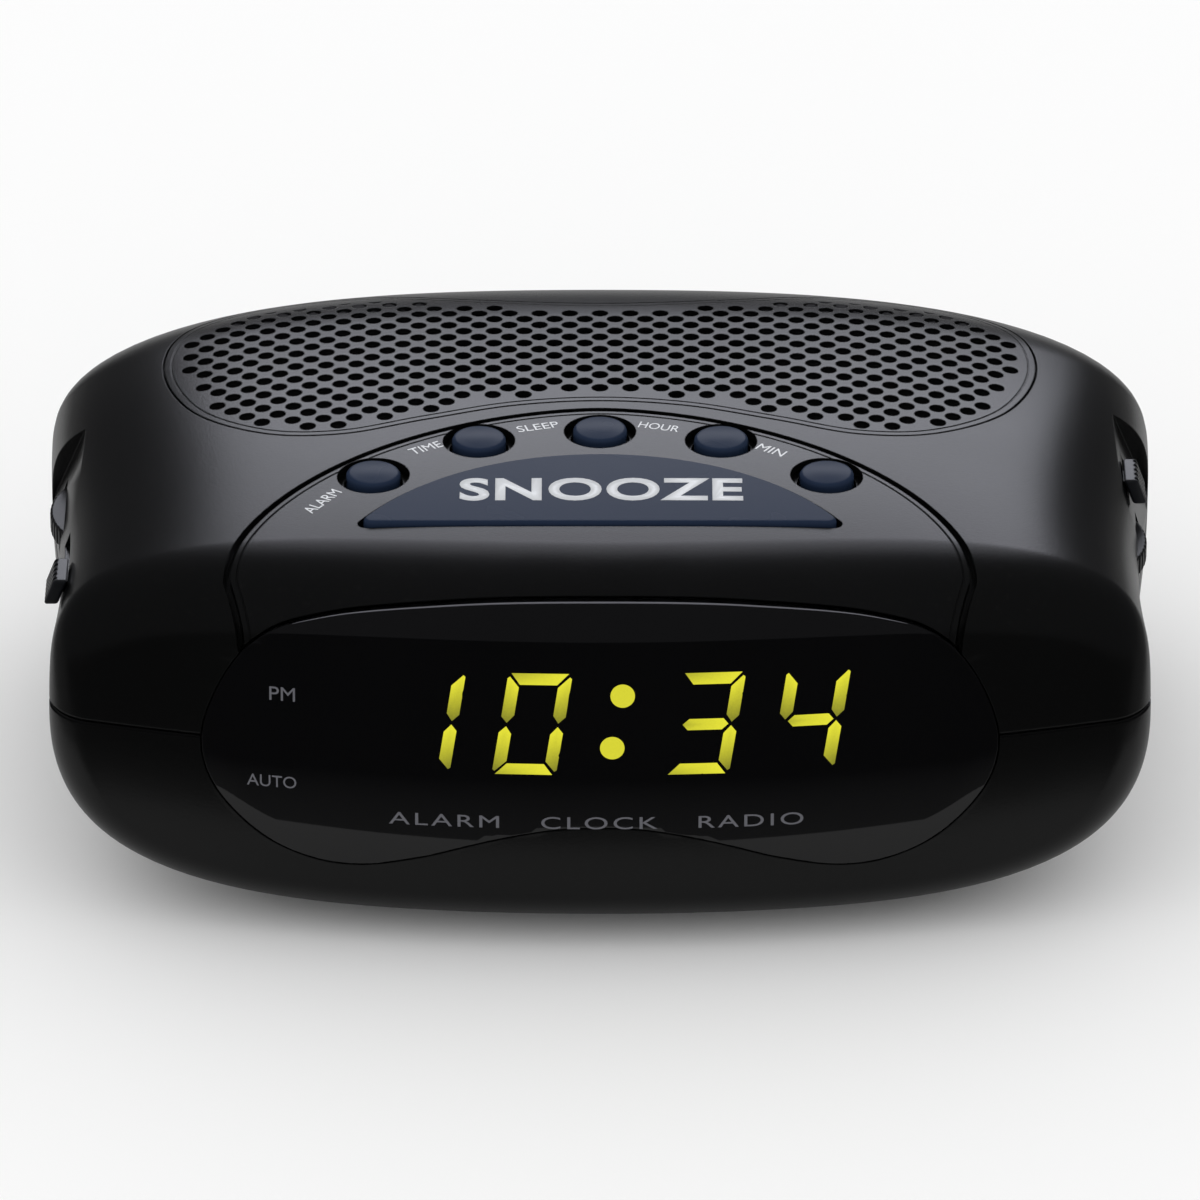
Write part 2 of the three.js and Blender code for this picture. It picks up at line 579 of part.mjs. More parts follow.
function baseShell() {
  const shell = cut(body().intersect(below(PARTING_Z - GAP / 2)), hollow());
  const bosses = BOSS_PLACES.map(([x, y]) => rod(BOSS.radius, STAND, PARTING_Z - GAP / 2, x, y, 12));
  const { radius, fromEnd, places } = BOARD_POST;
  const posts = [MAIN_BOARD.front + fromEnd, MAIN_BOARD.back - fromEnd].flatMap((y) =>
    places.map((x) => rod(radius, STAND, MAIN_BOARD.z - GAP, x, y, 10)),
  );
  const { width, depth, spread } = TRANSFORMER_REST;
  const rests = [-1, 1].map((side) =>
    block(
      width, depth, transformerZ - GAP - STAND,
      TRANSFORMER.x + side * spread, TRANSFORMER.y, STAND,
    ),
  );
  const well = box(
    bay.x0 - BAY.wall, bay.x1 + BAY.wall, bay.y0 - BAY.wall, bay.y1 + BAY.wall,
    STAND, BAY.roof + BAY.wall,
  );
  const inside = joined(well, ...bosses, ...posts, ...rests).intersect(body(WALL / 2, COARSE));
  const hole = box(bay.x0, bay.x1, bay.y0, bay.y1, -FAR, BAY.roof);
  return cut(
    joined(shell, inside),
    hole,
    cut(lensBlank(0), body(SEAT)),
    displayWindow(),
    ...BOSS_PLACES.map((at) => rod(SCREW.head + GAP, 0, screwSeatZ(at), ...at, 12)),
    ...BOSS_PLACES.map(([x, y]) => rod(SCREW.shank + GAP, 0, FAR, x, y, 10)),
    ...footPlaces.map(([x, y]) => rod(FOOT.radius + GAP, 0, footHeight + GAP, x, y)),
    solid(turned([[0, 0], [GLAND.neck + GAP, 0], [GLAND.neck + GAP, FAR], [0, FAR]], 14)
      .rotateX(-Math.PI / 2).translate(GLAND.x, DEPTH / 4, GLAND.z)),
    ...range(VENT.count, (i) =>
      block(VENT.width, VENT.length, WALL * 4, VENT.x + i * VENT.pitch, VENT.y, 0),
    ),
  );
}

function speakerGrille() {
  const holes = [];
  const { radius, pitchX, pitchY } = GRILLE_HOLE;
  const reach = SPEAKER.radius - SPEAKER.rimWidth - radius;
  const rows = Math.floor(reach / pitchY);
  for (let row = -rows; row <= rows; row++) {
    const shift = row % 2 === 0 ? 0 : pitchX / 2;
    for (let x = shift - 3 * pitchX; x <= 3 * pitchX; x += pitchX) {
      if (Math.hypot(x, row * pitchY) > reach) continue;
      holes.push(rod(radius, GIRTH_Z, FAR, x, SPEAKER.y + row * pitchY, 6));
    }
  }
  return cut(skin(grilleBlank(-GAP), SKIN), joined(...holes));
}

function controlPanel() {
  return cut(
    skin(panelBlank(-GAP), SKIN),
    prismZ(snoozeOutline(SNOOZE.sideGap), GIRTH_Z, FAR),
    ...BUTTONS.map(({ x, y }) => rod(BUTTON.ring, GIRTH_Z, FAR, x, y, 18)),
  );
}

const displayLens = () => skin(lensBlank(-GAP), SKIN);

// ---------------------------------------------------------------- keys

function snoozeBar() {
  const underWall = WALL + GAP;
  const floor = keyTopZ + SNOOZE.travel + 1;
  const plate = prismZ(snoozeOutline(), floor, FAR).intersect(body(-SNOOZE.rise));
  const flange = prismZ(snoozeOutline(SNOOZE.lip), floor, FAR).intersect(body(underWall, COARSE));
  const stem = rod(KEY_STEM, keyTopZ + SNOOZE.travel, HEIGHT - WALL, 0, SNOOZE.back - SNOOZE.depth / 2, 12);
  return joined(plate, flange, stem);
}

function buttonCap({ x, y }) {
  const top = surfaceZ(x, y) + BUTTON.rise;
  const lipTop = surfaceZ(x, y) - WALL - BUTTON.lipDrop;
  const { radius, lip, travel } = BUTTON;
  const profile = [
    [0, keyTopZ + travel],
    [KEY_STEM, keyTopZ + travel],
    [KEY_STEM, lipTop - lip],
    [radius + lip, lipTop - lip],
    [radius + lip, lipTop],
    [radius, lipTop],
    [radius, top - 1],
    [radius * 0.82, top - 0.25],
    [0, top],
  ];
  return solid(turned(profile, 14));
}

function keySwitch() {
  const { size, height, plunger } = KEY_SWITCH;
  return joined(block(size, size, height - 1), rod(plunger, height - 1.2, height, 0, 0, 8));
}

// ---------------------------------------------------------------- side controls

function thumbwheel() {
  const { radius, thickness, bore, notches } = WHEEL;
  const points = range(notches * 3, (i) => {
    const angle = (2 * Math.PI * i) / (notches * 3);
    const r = i % 3 === 0 ? radius - WHEEL.notch : radius;
    return [r * Math.cos(angle), r * Math.sin(angle)];
  });
  return cut(prismZ(points, 0, thickness), rod(bore, -1, thickness + 1, 0, 0, 12));
}

// Outermost line of the wall, at a height, along the way of one side's slide knob.
function knobWallX({ knobY, travel }, z) {
  const reach = [0, 0.5, 1].map((share) => sideX(knobY + share * travel, z));
  return Math.min(sideFaceX(z), Math.max(...reach));
}

// A grooved cap that leans as the wall behind it does, and the neck that holds it.
function slideKnob(at) {
  const { side, knobY, knobZ } = at;
  const ends = [-1, 1].map((end) => {
    const z = knobZ + (end * KNOB.height) / 2;
    return [knobWallX(at, z) + GAP, z];
  });
  const slab = (from, to, y0, y1) => {
    const near = ends.map(([x, z]) => [side * (x + from), z]);
    const far = ends.map(([x, z]) => [side * (x + to), z]).reverse();
    return prismY([...near, ...far], y0, y1);
  };
  const cap = slab(0, KNOB.proud, knobY - KNOB.length / 2, knobY + KNOB.length / 2);
  const { count, width, depth, pitch } = KNOB_GROOVE;
  const grooves = range(count, (i) => {
    const middle = knobY + (i - (count - 1) / 2) * pitch;
    return slab(KNOB.proud - depth, KNOB.proud + 1, middle - width / 2, middle + width / 2);
  });
  const neck = sideBox(
    side, slideSwitchX(at) + GAP, (ends[0][0] + ends[1][0]) / 2 + GAP,
    knobY - KNOB.neck / 2, knobY + KNOB.neck / 2,
    knobZ - KNOB.neckHeight / 2, knobZ + KNOB.neckHeight / 2,
  );
  return joined(cut(cap, ...grooves), neck);
}

// Outer face of a slide switch, behind the wall.
function slideSwitchX({ knobY, knobZ }) {
  return sideX(knobY, knobZ + KNOB.height) - WALL - SLIDE_CLEAR;
}

function slideSwitch(at) {
  const outer = slideSwitchX(at);
  const middle = at.knobY + at.travel / 2;
  const half = at.travel / 2 + 5;
  return sideBox(at.side, outer - 6, outer, middle - half, middle + half, at.knobZ - 3.2, at.knobZ + 3.2);
}

function rotaryBox() {
  const { width, height } = ROTARY_BOX;
  const shaftEnd = WHEEL.z + WHEEL.thickness - boardTopZ - GAP;
  return joined(block(width, width, height), rod(WHEEL_SHAFT, height - 0.5, shaftEnd, 0, 0, 14));
}

// ---------------------------------------------------------------- inside

function mainBoard() {
  const half = halfWidth(WAIST.y) - WALL - MAIN_BOARD.sideClear;
  return box(-half, half, MAIN_BOARD.front, MAIN_BOARD.back, MAIN_BOARD.z, boardTopZ);
}

function keyBoard() {
  const { halfWidth: half, front, back } = KEY_BOARD;
  return box(-half, half, front, back, keyBoardZ, keyBoardZ + BOARD);
}

const ledDisplay = () =>
  box(-DISPLAY.halfWidth, DISPLAY.halfWidth, 0, DISPLAY.depth, -DISPLAY.halfHeight, DISPLAY.halfHeight);

function displayBoard() {
  const half = DISPLAY.halfWidth + DISPLAY_BOARD.widthMargin;
  const tall = DISPLAY.halfHeight + DISPLAY_BOARD.heightMargin;
  const start = DISPLAY.depth + GAP;
  return box(-half, half, start, start + BOARD, -tall, tall);
}

function transformerCore() {
  const { width, height, stack, limb } = TRANSFORMER;
  const frame = block(width, stack, height);
  const windowWidth = (width - 4 * limb) / 2;
  const windows = [-1, 1].map((side) =>
    block(windowWidth, stack + 2, height - 2 * limb, side * (limb + windowWidth / 2), 0, limb),
  );
  return cut(frame, ...windows);
}

function transformerWinding() {
  const { width, height, stack, limb } = TRANSFORMER;
  const outerHalf = width / 2 - limb - GAP;
  const tall = Math.min(WINDING.height, height - 2 * limb - 2 * GAP);
  const start = (height - tall) / 2;
  const coil = block(2 * outerHalf, stack + 2 * WINDING.overhang, tall, 0, 0, start);
  return cut(coil, block(2 * (limb + GAP), stack + 2 * GAP, tall + 2, 0, 0, start - 1));
}

// The basket: a rim, a cone down to the throat and a floor, open at the top.
function speakerFrame() {
  const { radius, rim, rimWidth, depth, throat } = SPEAKER;
  const thick = 0.9;
  const profile = [
    [0, -depth],
    [throat + thick, -depth],
    [radius - rimWidth, -rim],
    [radius, -rim],
    [radius, 0],
    [radius - rimWidth, 0],
    [radius - rimWidth - thick, -rim],
    [throat, -depth + thick],
    [0, -depth + thick],
  ];
  return solid(turned(profile, 20));
}

function speakerCone() {
  const { radius, rim, rimWidth, depth, throat } = SPEAKER;
  const top = -rim - GAP;
  const outer = radius - rimWidth - 2.2;
  const low = -depth + 3.4;
  const profile = [
    [0, low],
    [throat - 2.6, low],
    [outer, top - 0.6],
    [outer, top],
    [throat - 3, low + 1.4],
    [throat - 6, low + 3],
    [0, low + 3.8],
  ];
  return solid(turned(profile, 20));
}

const speakerMagnet = () =>
  rod(SPEAKER.magnet, -SPEAKER.depth - GAP - SPEAKER_MAGNET_HEIGHT, -SPEAKER.depth - GAP, 0, 0, 20);

function alongX(geometry) {
  return geometry.rotateY(Math.PI / 2);
}

function ferriteRod() {
  const { radius, length } = FERRITE;
  return solid(alongX(turned([[0, 0], [radius, 0], [radius, length], [0, length]], 16)));
}

function antennaCoil() {
  const [outer, inner] = [FERRITE.coil, FERRITE.radius + GAP];
  const start = 4;
  const end = start + FERRITE.coilLength;
  const profile = [[inner, start], [outer, start], [outer, end], [inner, end], [inner, start]];
  return solid(alongX(turned(profile, 16)));
}

function backupBattery() {
  const { length, width, height } = BATTERY;
  const corner = 2;
  const [a, b] = [width / 2, height / 2];
  const outline = [
    [-a + corner, -b], [a - corner, -b], [a, -b + corner], [a, b - corner],
    [a - corner, b], [-a + corner, b], [-a, b - corner], [-a, -b + corner],
  ];
  return prismX(outline, -length / 2, length / 2 - 2);
}

// ---------------------------------------------------------------- underside

function foot() {
  const { radius } = FOOT;
  return solid(turned([[0, 0], [radius - 0.6, 0], [radius, 0.6], [radius, footHeight], [0, footHeight]], 16));
}

// Head down, with the shank up into the top shell's boss; its place is the underside of the head's seat.
function caseScrew() {
  const { shank, head, headHeight, length } = SCREW;
  const profile = [
    [0, -GAP - headHeight],
    [head * 0.8, -GAP - headHeight],
    [head, -GAP - headHeight * 0.6],
    [head, -GAP],
    [shank, -GAP],
    [shank, length - 2],
    [0, length],
  ];
  return solid(turned(profile, 10));
}

function batteryDoor() {
  const blank = box(bay.x0 + GAP, bay.x1 - GAP, bay.y0 + GAP, hingeY, -FAR, GIRTH_Z);
  const plate = skin(blank, DOOR.thickness);
  const length = bay.x1 - bay.x0 - 2 * GAP - 4;
  const barrel = solid(
    alongX(turned([[0, 0], [DOOR.barrel, 0], [DOOR.barrel, length], [0, length]], 12))
      .translate(bay.x0 + GAP + 2, hingeY, DOOR.barrelZ),
  );
  const grip = prismX([[0, 0], [2, 0], [1, 1]], -7, 7).translate([BAY.x, bay.y0 + 3, undersideZ(0, 0) - 0.1]);
  return cut(joined(plate, barrel), grip);
}

function cableGland() {
  const { flange, flangeDepth, neck, bore, tail } = GLAND;
  const start = backY(GLAND.x - flange) + GAP;
  const inside = start - WALL - tail - 2;
  const profile = [
    [bore, inside],
    [neck - 0.8, inside],
    [neck, inside + 1.5],
    [neck, start],
    [flange, start],
    [flange, start + flangeDepth * 0.5],
    [flange - 1, start + flangeDepth],
    [bore, start + flangeDepth],
    [bore, inside],
  ];
  return solid(turned(profile, 14).rotateX(-Math.PI / 2).translate(GLAND.x, 0, GLAND.z));
}

// ---------------------------------------------------------------- assembly

const radio = new THREE.Group();

function mesh(name, manifold, finish) {
  const made = new THREE.Mesh(geometryOf(manifold), new THREE.MeshStandardMaterial(finish));
  made.name = name;
  return made;
}

function put(parent, name, manifold, finish, x = 0, y = 0, z = 0) {
  const piece = mesh(name, manifold, finish);
  piece.position.set(x, y, z);
  parent.add(piece);
  return piece;
}

function addCase() {
  put(radio, "top_shell", topShell(), FINISH.satinBlack);
  put(radio, "base_shell", baseShell(), FINISH.satinBlack);
  put(radio, "speaker_grille", speakerGrille(), FINISH.panelGrey);
  put(radio, "control_panel", controlPanel(), FINISH.panelGrey);
  put(radio, "display_lens", displayLens(), FINISH.glossBlack);
  put(radio, "battery_door", batteryDoor(), FINISH.satinBlack);
  put(radio, "cable_gland", cableGland(), FINISH.rubber);
  footPlaces.forEach(([x, y], i) => put(radio, `foot_${i + 1}`, foot(), FINISH.rubber, x, y));
  BOSS_PLACES.forEach((at, i) =>
    put(radio, `case_screw_${i + 1}`, caseScrew(), FINISH.steel, ...at, screwSeatZ(at)),
  );
}

function addKeys() {
  const keys = new THREE.Group();
  put(keys, "key_board", keyBoard(), FINISH.board);
  put(keys, "snooze_bar", snoozeBar(), FINISH.buttonBlue);
  const switchZ = keyBoardZ + BOARD + GAP;
  for (const at of BUTTONS) {
    put(keys, `${at.name}_button`, buttonCap(at), FINISH.buttonBlue, at.x, at.y);
    put(keys, `${at.name}_switch`, keySwitch(), FINISH.component, at.x, at.y, switchZ);
  }
  const snoozeY = SNOOZE.back - SNOOZE.depth / 2;
  put(keys, "snooze_switch", keySwitch(), FINISH.component, 0, snoozeY, switchZ);
  radio.add(keys);
}

function addDisplay() {
  const display = new THREE.Group();
  display.position.set(DISPLAY.x, displayY, DISPLAY.z);
  display.rotation.x = -THREE.MathUtils.degToRad(DISPLAY.lean);
  put(display, "led_display", ledDisplay(), FINISH.displayFace);
  put(display, "display_board", displayBoard(), FINISH.board);
  radio.add(display);
}

function addSide(at, names) {
  const [x, y] = wheelCentre(at);
  put(radio, names.wheel, thumbwheel(), FINISH.darkControl, x, y, WHEEL.z);
  put(radio, names.box, rotaryBox(), FINISH.component, x, y, boardTopZ + GAP);
  put(radio, names.knob, slideKnob(at), FINISH.darkControl);
  put(radio, names.slide, slideSwitch(at), FINISH.component);
}

function addSpeaker() {
  const speaker = new THREE.Group();
  speaker.position.set(0, SPEAKER.y, speakerZ);
  put(speaker, "speaker_frame", speakerFrame(), FINISH.steel);
  put(speaker, "speaker_cone", speakerCone(), FINISH.paper);
  put(speaker, "speaker_magnet", speakerMagnet(), FINISH.ferrite);
  radio.add(speaker);
}

function addInside() {
  put(radio, "main_board", mainBoard(), FINISH.board);
  put(radio, "clock_chip", block(CHIP.length, CHIP.width, CHIP.height), FINISH.component,
    CHIP.x, CHIP.y, boardTopZ + GAP);
  put(radio, "smoothing_capacitor", rod(CAPACITOR.radius, 0, CAPACITOR.height, 0, 0, 18),
    FINISH.component, CAPACITOR.x, CAPACITOR.y, boardTopZ + GAP);
  const { x, y } = TRANSFORMER;
  put(radio, "transformer_core", transformerCore(), FINISH.steel, x, y, transformerZ);
  put(radio, "transformer_winding", transformerWinding(), FINISH.winding, x, y, transformerZ);
  const start = FERRITE.x - FERRITE.length / 2;
  put(radio, "ferrite_rod", ferriteRod(), FINISH.ferrite, start, FERRITE.y, FERRITE.z);
  put(radio, "antenna_coil", antennaCoil(), FINISH.winding, start, FERRITE.y, FERRITE.z);
  const batteryZ = BAY.roof - GAP - BATTERY.height / 2;
  put(radio, "backup_battery", backupBattery(), FINISH.component, BAY.x, BAY.y, batteryZ);
  const clipX = BAY.x + BATTERY.length / 2 + BATTERY.clip / 2 + GAP - 1;
  put(radio, "battery_clip", block(BATTERY.clip - 2, BATTERY.width - 2, BATTERY.height - 3),
    FINISH.component, clipX, BAY.y, batteryZ - (BATTERY.height - 3) / 2);
}

addCase();
addKeys();
addDisplay();
addSide(RIGHT_SIDE, {
  wheel: "tuning_wheel", box: "tuning_capacitor", knob: "band_knob", slide: "band_switch",
});
addSide(LEFT_SIDE, {
  wheel: "volume_wheel", box: "volume_control", knob: "function_knob", slide: "function_switch",
});
addSpeaker();
addInside();

export default radio;
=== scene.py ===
"""The looks of a mains clock radio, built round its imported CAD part.

Sizes are in millimetres while shapes are worked out, and in metres once they are meshes.
+Z is up, the front faces -Y and the origin is on the table, under the middle of the radio.
"""

import json
import math

import bpy
import numpy as np
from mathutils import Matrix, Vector


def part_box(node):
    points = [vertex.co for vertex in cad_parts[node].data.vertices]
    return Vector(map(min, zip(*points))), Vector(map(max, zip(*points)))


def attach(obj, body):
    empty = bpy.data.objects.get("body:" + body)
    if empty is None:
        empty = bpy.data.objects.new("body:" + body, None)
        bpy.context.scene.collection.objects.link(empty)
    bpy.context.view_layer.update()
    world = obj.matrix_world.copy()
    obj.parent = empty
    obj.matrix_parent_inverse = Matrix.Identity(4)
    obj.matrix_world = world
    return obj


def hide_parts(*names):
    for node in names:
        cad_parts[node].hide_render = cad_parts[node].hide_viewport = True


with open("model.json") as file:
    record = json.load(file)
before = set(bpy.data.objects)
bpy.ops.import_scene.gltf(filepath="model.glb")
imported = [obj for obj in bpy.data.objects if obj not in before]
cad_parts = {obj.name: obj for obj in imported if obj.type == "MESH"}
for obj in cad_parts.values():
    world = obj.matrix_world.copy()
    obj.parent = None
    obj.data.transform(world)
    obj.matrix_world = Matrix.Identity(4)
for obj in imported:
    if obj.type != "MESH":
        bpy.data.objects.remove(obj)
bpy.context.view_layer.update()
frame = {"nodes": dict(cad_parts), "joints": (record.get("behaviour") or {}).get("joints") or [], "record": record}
MM = 0.001

# ---- sizes of the case

WIDTH, DEPTH, HEIGHT = 182.0, 125.0, 63.0
STAND = 2.0
GIRTH = 34.5  # height at which the case is widest
PARTING = 36.0
WALL = 2.6
GAP = 0.3
SKIN = 1.3  # thickness of the lens, the panel and the grille
SEAT = SKIN + GAP
FAR = 400.0

FRONT_NARROWING = 0.7
WAIST_DEPTH, WAIST_Y, WAIST_REACH = 3.3, -20.0, 54.0
ROOF_RADIUS, ROOF_Y = 620.0, -9.5
UPPER, LOWER = (3.4, 4.4), (4.9, 2.5)  # exponents across and up the section
FRONT_BOW, BACK_BOW = 300.0, 420.0
FRONT_X, FRONT_TOP, FRONT_BOTTOM = 7.0, 8.0, 8.5
FRONT_RUN, FRONT_RUN_HIGH, FRONT_RUN_LOW = 7.0, 14.0, 13.4
BACK_X, BACK_RUN, BACK_Z = 32.5, 20.3, 4.5
BELLY = 23.3  # height at which the front stands vertical
SLOPE_HEIGHTS = (-20.0, 12.0, 27.5, 34.5, 59.0, 80.0)
SLOPES = (-0.14, -0.14, 0.052, 0.213, 0.425, 0.607)

GRILLE_OUTLINE = [
    (0, 49), (20, 51), (40, 55.3), (58, 52), (69, 42.5), (72, 28),
    (66, 9.5), (54, -0.4), (42, -1.9), (28, 2.6), (14, 7.3), (0, 9),
]
LENS_OUTLINE = [
    (0, 58.7), (24, 58.1), (44, 56.0), (53, 53.2), (59, 47.5), (63.6, 36.5), (62, 28.6),
    (54.3, 19.9), (46, 16), (38.5, 15.3), (29, 17.2), (18, 20.7), (8, 23), (0, 23.5),
]
PANEL_HALF, PANEL_LENGTH, PANEL_Y, PANEL_POWER, PANEL_LOWEST = 60.0, 50.5, -44.0, 1.72, 48.0
PANEL_FOOT_NARROWING = 2.6
SNOOZE_HALF, SNOOZE_BACK, SNOOZE_DEPTH, SNOOZE_RISE = 39.0, -10.8, 22.0, 0.9
BUTTON_RADIUS, BUTTON_RING, BUTTON_RISE = 4.4, 5.85, 0.9
BUTTONS = {
    "alarm_button": (-36.5, -16.4),
    "time_button": (-19.6, -5.1),
    "sleep_button": (0.0, -1.9),
    "hour_button": (19.6, -5.1),
    "minute_button": (36.5, -16.4),
}
SPEAKER_Y, SPEAKER_HOLE = 29.0, 22.0
FACE_TILT, FACE_Z, FACE_INSET, FACE_BOTTOM = 20.0, 53.5, 6.6, 38.0
SIDES = {
    1: {"wheel": "tuning_wheel", "knob": "band_knob", "y": 6.0, "z": 49.5, "travel": 4.0,
        "face": (-13.0, -1.0, 20.0, 26.0), "bodies": ("tuning", "band")},
    -1: {"wheel": "volume_wheel", "knob": "function_knob", "y": -26.0, "z": 48.5, "travel": 12.0,
         "face": (-40.0, -31.0, 15.0, 22.0), "bodies": ("volume", "function")},
}
BOSSES = [(-66, -40), (66, -40), (-68, 37), (68, 37)]
FEET = [(-54, -36), (54, -36), (-54, 36), (54, 36)]

# ---- form of the case

HEIGHTS = np.linspace(-20, 80, 4001)
SLOPE_AT = np.interp(HEIGHTS, SLOPE_HEIGHTS, SLOPES)
SETBACK = np.concatenate([[0], np.cumsum((SLOPE_AT[1:] + SLOPE_AT[:-1]) / 2 * np.diff(HEIGHTS))])
SETBACK -= np.interp(BELLY, HEIGHTS, SETBACK)


def front_y(x, z, inset=0.0):
    """The front face's place at a point of its elevation."""
    return -DEPTH / 2 + x * x / (2 * FRONT_BOW) + np.interp(z, HEIGHTS, SETBACK) + inset


def back_y(x, inset=0.0):
    return DEPTH / 2 - x * x / (2 * BACK_BOW) - inset


def half_width(y, inset=0.0):
    along = np.clip(y / DEPTH + 0.5, 0, 1)
    away = np.minimum(np.abs(y - WAIST_Y) / WAIST_REACH, 1)
    dip = WAIST_DEPTH * np.cos(math.pi / 2 * away) ** 2
    return WIDTH / 2 - FRONT_NARROWING * (1 - along) - dip - inset


def roof_z(y, inset=0.0):
    return HEIGHT - (y - ROOF_Y) ** 2 / (2 * ROOF_RADIUS) - inset


def section_edge(steps):
    """The unit section, from the top round by the right: shares of the half width and of the height."""

    def quarter(flat, corner):
        low, high = 0.5, 1.0
        for _ in range(50):
            middle = (low + high) / 2
            if middle**flat + middle**corner > 1:
                high = middle
            else:
                low = middle
        over = [(low * i / (steps - 1)) for i in range(steps)]
        down = [low * (1 - (i + 1) / (steps - 1)) for i in range(steps - 1)]
        return [(a, (1 - a**flat) ** (1 / corner)) for a in over] + [
            ((1 - u**corner) ** (1 / flat), u) for u in down
        ]

    right = quarter(*UPPER) + [(x, -z) for x, z in reversed(quarter(*LOWER))][1:]
    return np.array(right + [(-x, z) for x, z in reversed(right[1:-1])])


def front_reach(level):
    """How far back the front edge's rounding runs, from a level of -1 below to 1 on top."""
    high, low = np.clip(level, 0, 1) ** 4, np.clip(-level, 0, 1)
    return FRONT_RUN + (FRONT_RUN_HIGH - FRONT_RUN) * high + (FRONT_RUN_LOW - FRONT_RUN) * low


def ring_points(unit, run, turn, inset):
    """One cross ring. run goes from 0 at the front of the sides to 1 at their back, and turn is the
    angle round the front edge (below 0) or the back edge (above 0)."""
    ux, uz = unit[:, 0], unit[:, 1]
    up = uz >= 0
    front_run = front_reach(uz) - inset
    bend = 1 - math.cos(turn)
    in_x = (FRONT_X if turn < 0 else BACK_X) - inset
    in_z = np.where(up, FRONT_TOP, FRONT_BOTTOM) if turn < 0 else np.full(len(ux), BACK_Z)
    in_z = np.maximum(in_z - inset, 0.5)
    x = ux * WIDTH / 2
    z = GIRTH + uz * np.where(up, HEIGHT - GIRTH, GIRTH - STAND)
    for _ in range(5):
        start = front_y(x, z, inset) + front_run * (1 - math.sin(max(-turn, 0)))
        end = back_y(x, inset) - (BACK_RUN - inset) * (1 - math.sin(max(turn, 0)))
        y = start + (end - start) * run
        x = ux * (half_width(y, inset) - in_x * bend)
        tall = np.where(up, roof_z(y, inset) - GIRTH, GIRTH - STAND - inset)
        z = GIRTH + uz * (tall - in_z * bend)
    return np.stack([x, y, z], 1)


def body_mesh(name, inset=0.0, section=22, length=44, edge=14, cap=9):
    """The whole case as one closed mesh, with its surface moved in by an inset."""
    unit = section_edge(section)
    quarter = math.pi / 2
    front_rim = ring_points(unit, 0, -quarter, inset)
    back_rim = ring_points(unit, 1, quarter, inset)

    def shrunk(rim, share, depth_at):
        x, z = rim[:, 0] * share, GIRTH + (rim[:, 2] - GIRTH) * share
        return np.stack([x, depth_at(x, z), z], 1)

    def nose(x, z):
        return front_y(x, z, inset)

    def tail(x, z):
        return back_y(x, inset)

    rings = [shrunk(front_rim, (i + 1) / (cap + 1), nose) for i in range(cap)] + [front_rim]
    rings += [ring_points(unit, 0, -quarter * (1 - (i + 1) / edge), inset) for i in range(edge - 1)]
    rings += [ring_points(unit, i / length, 0, inset) for i in range(length + 1)]
    rings += [ring_points(unit, 1, quarter * (i + 1) / edge, inset) for i in range(edge - 1)]
    rings += [back_rim] + [shrunk(back_rim, s, tail) for s in (0.75, 0.5, 0.25)]
    centre = np.array([0.0])
    ends = [(0, nose(centre, centre + GIRTH)[0], GIRTH), (0, tail(centre, centre)[0], GIRTH)]
    return loft(name, rings, ends)


def fullness(p):
    """How far out some points lie: 1 on the case's surface, less inside. Also how far each point is
    round the front or back edge, from 0 on the sides to 1 on the end face."""
    x, y, z = np.abs(p[:, 0]), p[:, 1], p[:, 2]
    up = z >= GIRTH
    flat = np.where(up, UPPER[0], LOWER[0])
    corner = np.where(up, UPPER[1], LOWER[1])
    tall = np.where(up, roof_z(y) - GIRTH, GIRTH - STAND)
    front = y < 0
    in_x = np.where(front, FRONT_X, BACK_X)
    in_z = np.where(front, np.where(up, FRONT_TOP, FRONT_BOTTOM), BACK_Z)
    bend = np.zeros(len(x))
    for _ in range(4):
        level = (z - GIRTH) / (tall - in_z * bend)
        at_front = 1 - (y - front_y(x, z)) / front_reach(level)
        at_back = 1 - (back_y(x) - y) / BACK_RUN
        turn = np.clip(np.where(front, at_front, at_back), 0, 0.99995)
        bend = 1 - np.sqrt(1 - turn * turn)
    share_x = x / (half_width(y) - in_x * bend)
    share_z = np.abs(z - GIRTH) / (tall - in_z * bend)
    return share_x**flat + share_z**corner, turn


def outward(points):
    """Unit normals of the case's surface near some points, from the gradient of its form."""
    step = 0.01
    turn = fullness(points)[1]
    shifts = step * np.eye(3)
    slope = np.stack([fullness(points + s)[0] - fullness(points - s)[0] for s in shifts], 1)
    x, y, z = points.T
    nose = np.stack([x / FRONT_BOW, -np.ones(len(x)), np.interp(z, HEIGHTS, SLOPE_AT)], 1)
    tail = np.stack([x / BACK_BOW, np.ones(len(x)), np.zeros(len(x))], 1)
    face = np.where((y < 0)[:, None], nose, tail)
    result = np.where((turn > 0.9995)[:, None], face, slope)
    return result / np.maximum(np.linalg.norm(result, axis=1), 1e-12)[:, None]


def brow_points(x, z):
    """Points of the surface at some places of the front elevation, on the rounded upper front edge."""
    low, high = front_y(x, z), front_y(x, z) + FRONT_RUN_HIGH
    for _ in range(40):
        middle = (low + high) / 2
        outside = fullness(np.stack([x, middle, z], 1))[0] > 1
        low, high = np.where(outside, middle, low), np.where(outside, high, middle)
    return np.stack([x, low, z], 1)


def top_z(x, y):
    """Height of the case's top, away from its front and back edges."""
    share = np.minimum(np.abs(x) / half_width(y), 1)
    return GIRTH + (roof_z(y) - GIRTH) * (1 - share ** UPPER[0]) ** (1 / UPPER[1])


def side_x(y, z):
    """Half width of the case at a height above the girth."""
    share = min(max(z - GIRTH, 0) / (roof_z(y) - GIRTH), 1)
    return float(half_width(y)) * (1 - share ** UPPER[1]) ** (1 / UPPER[0])


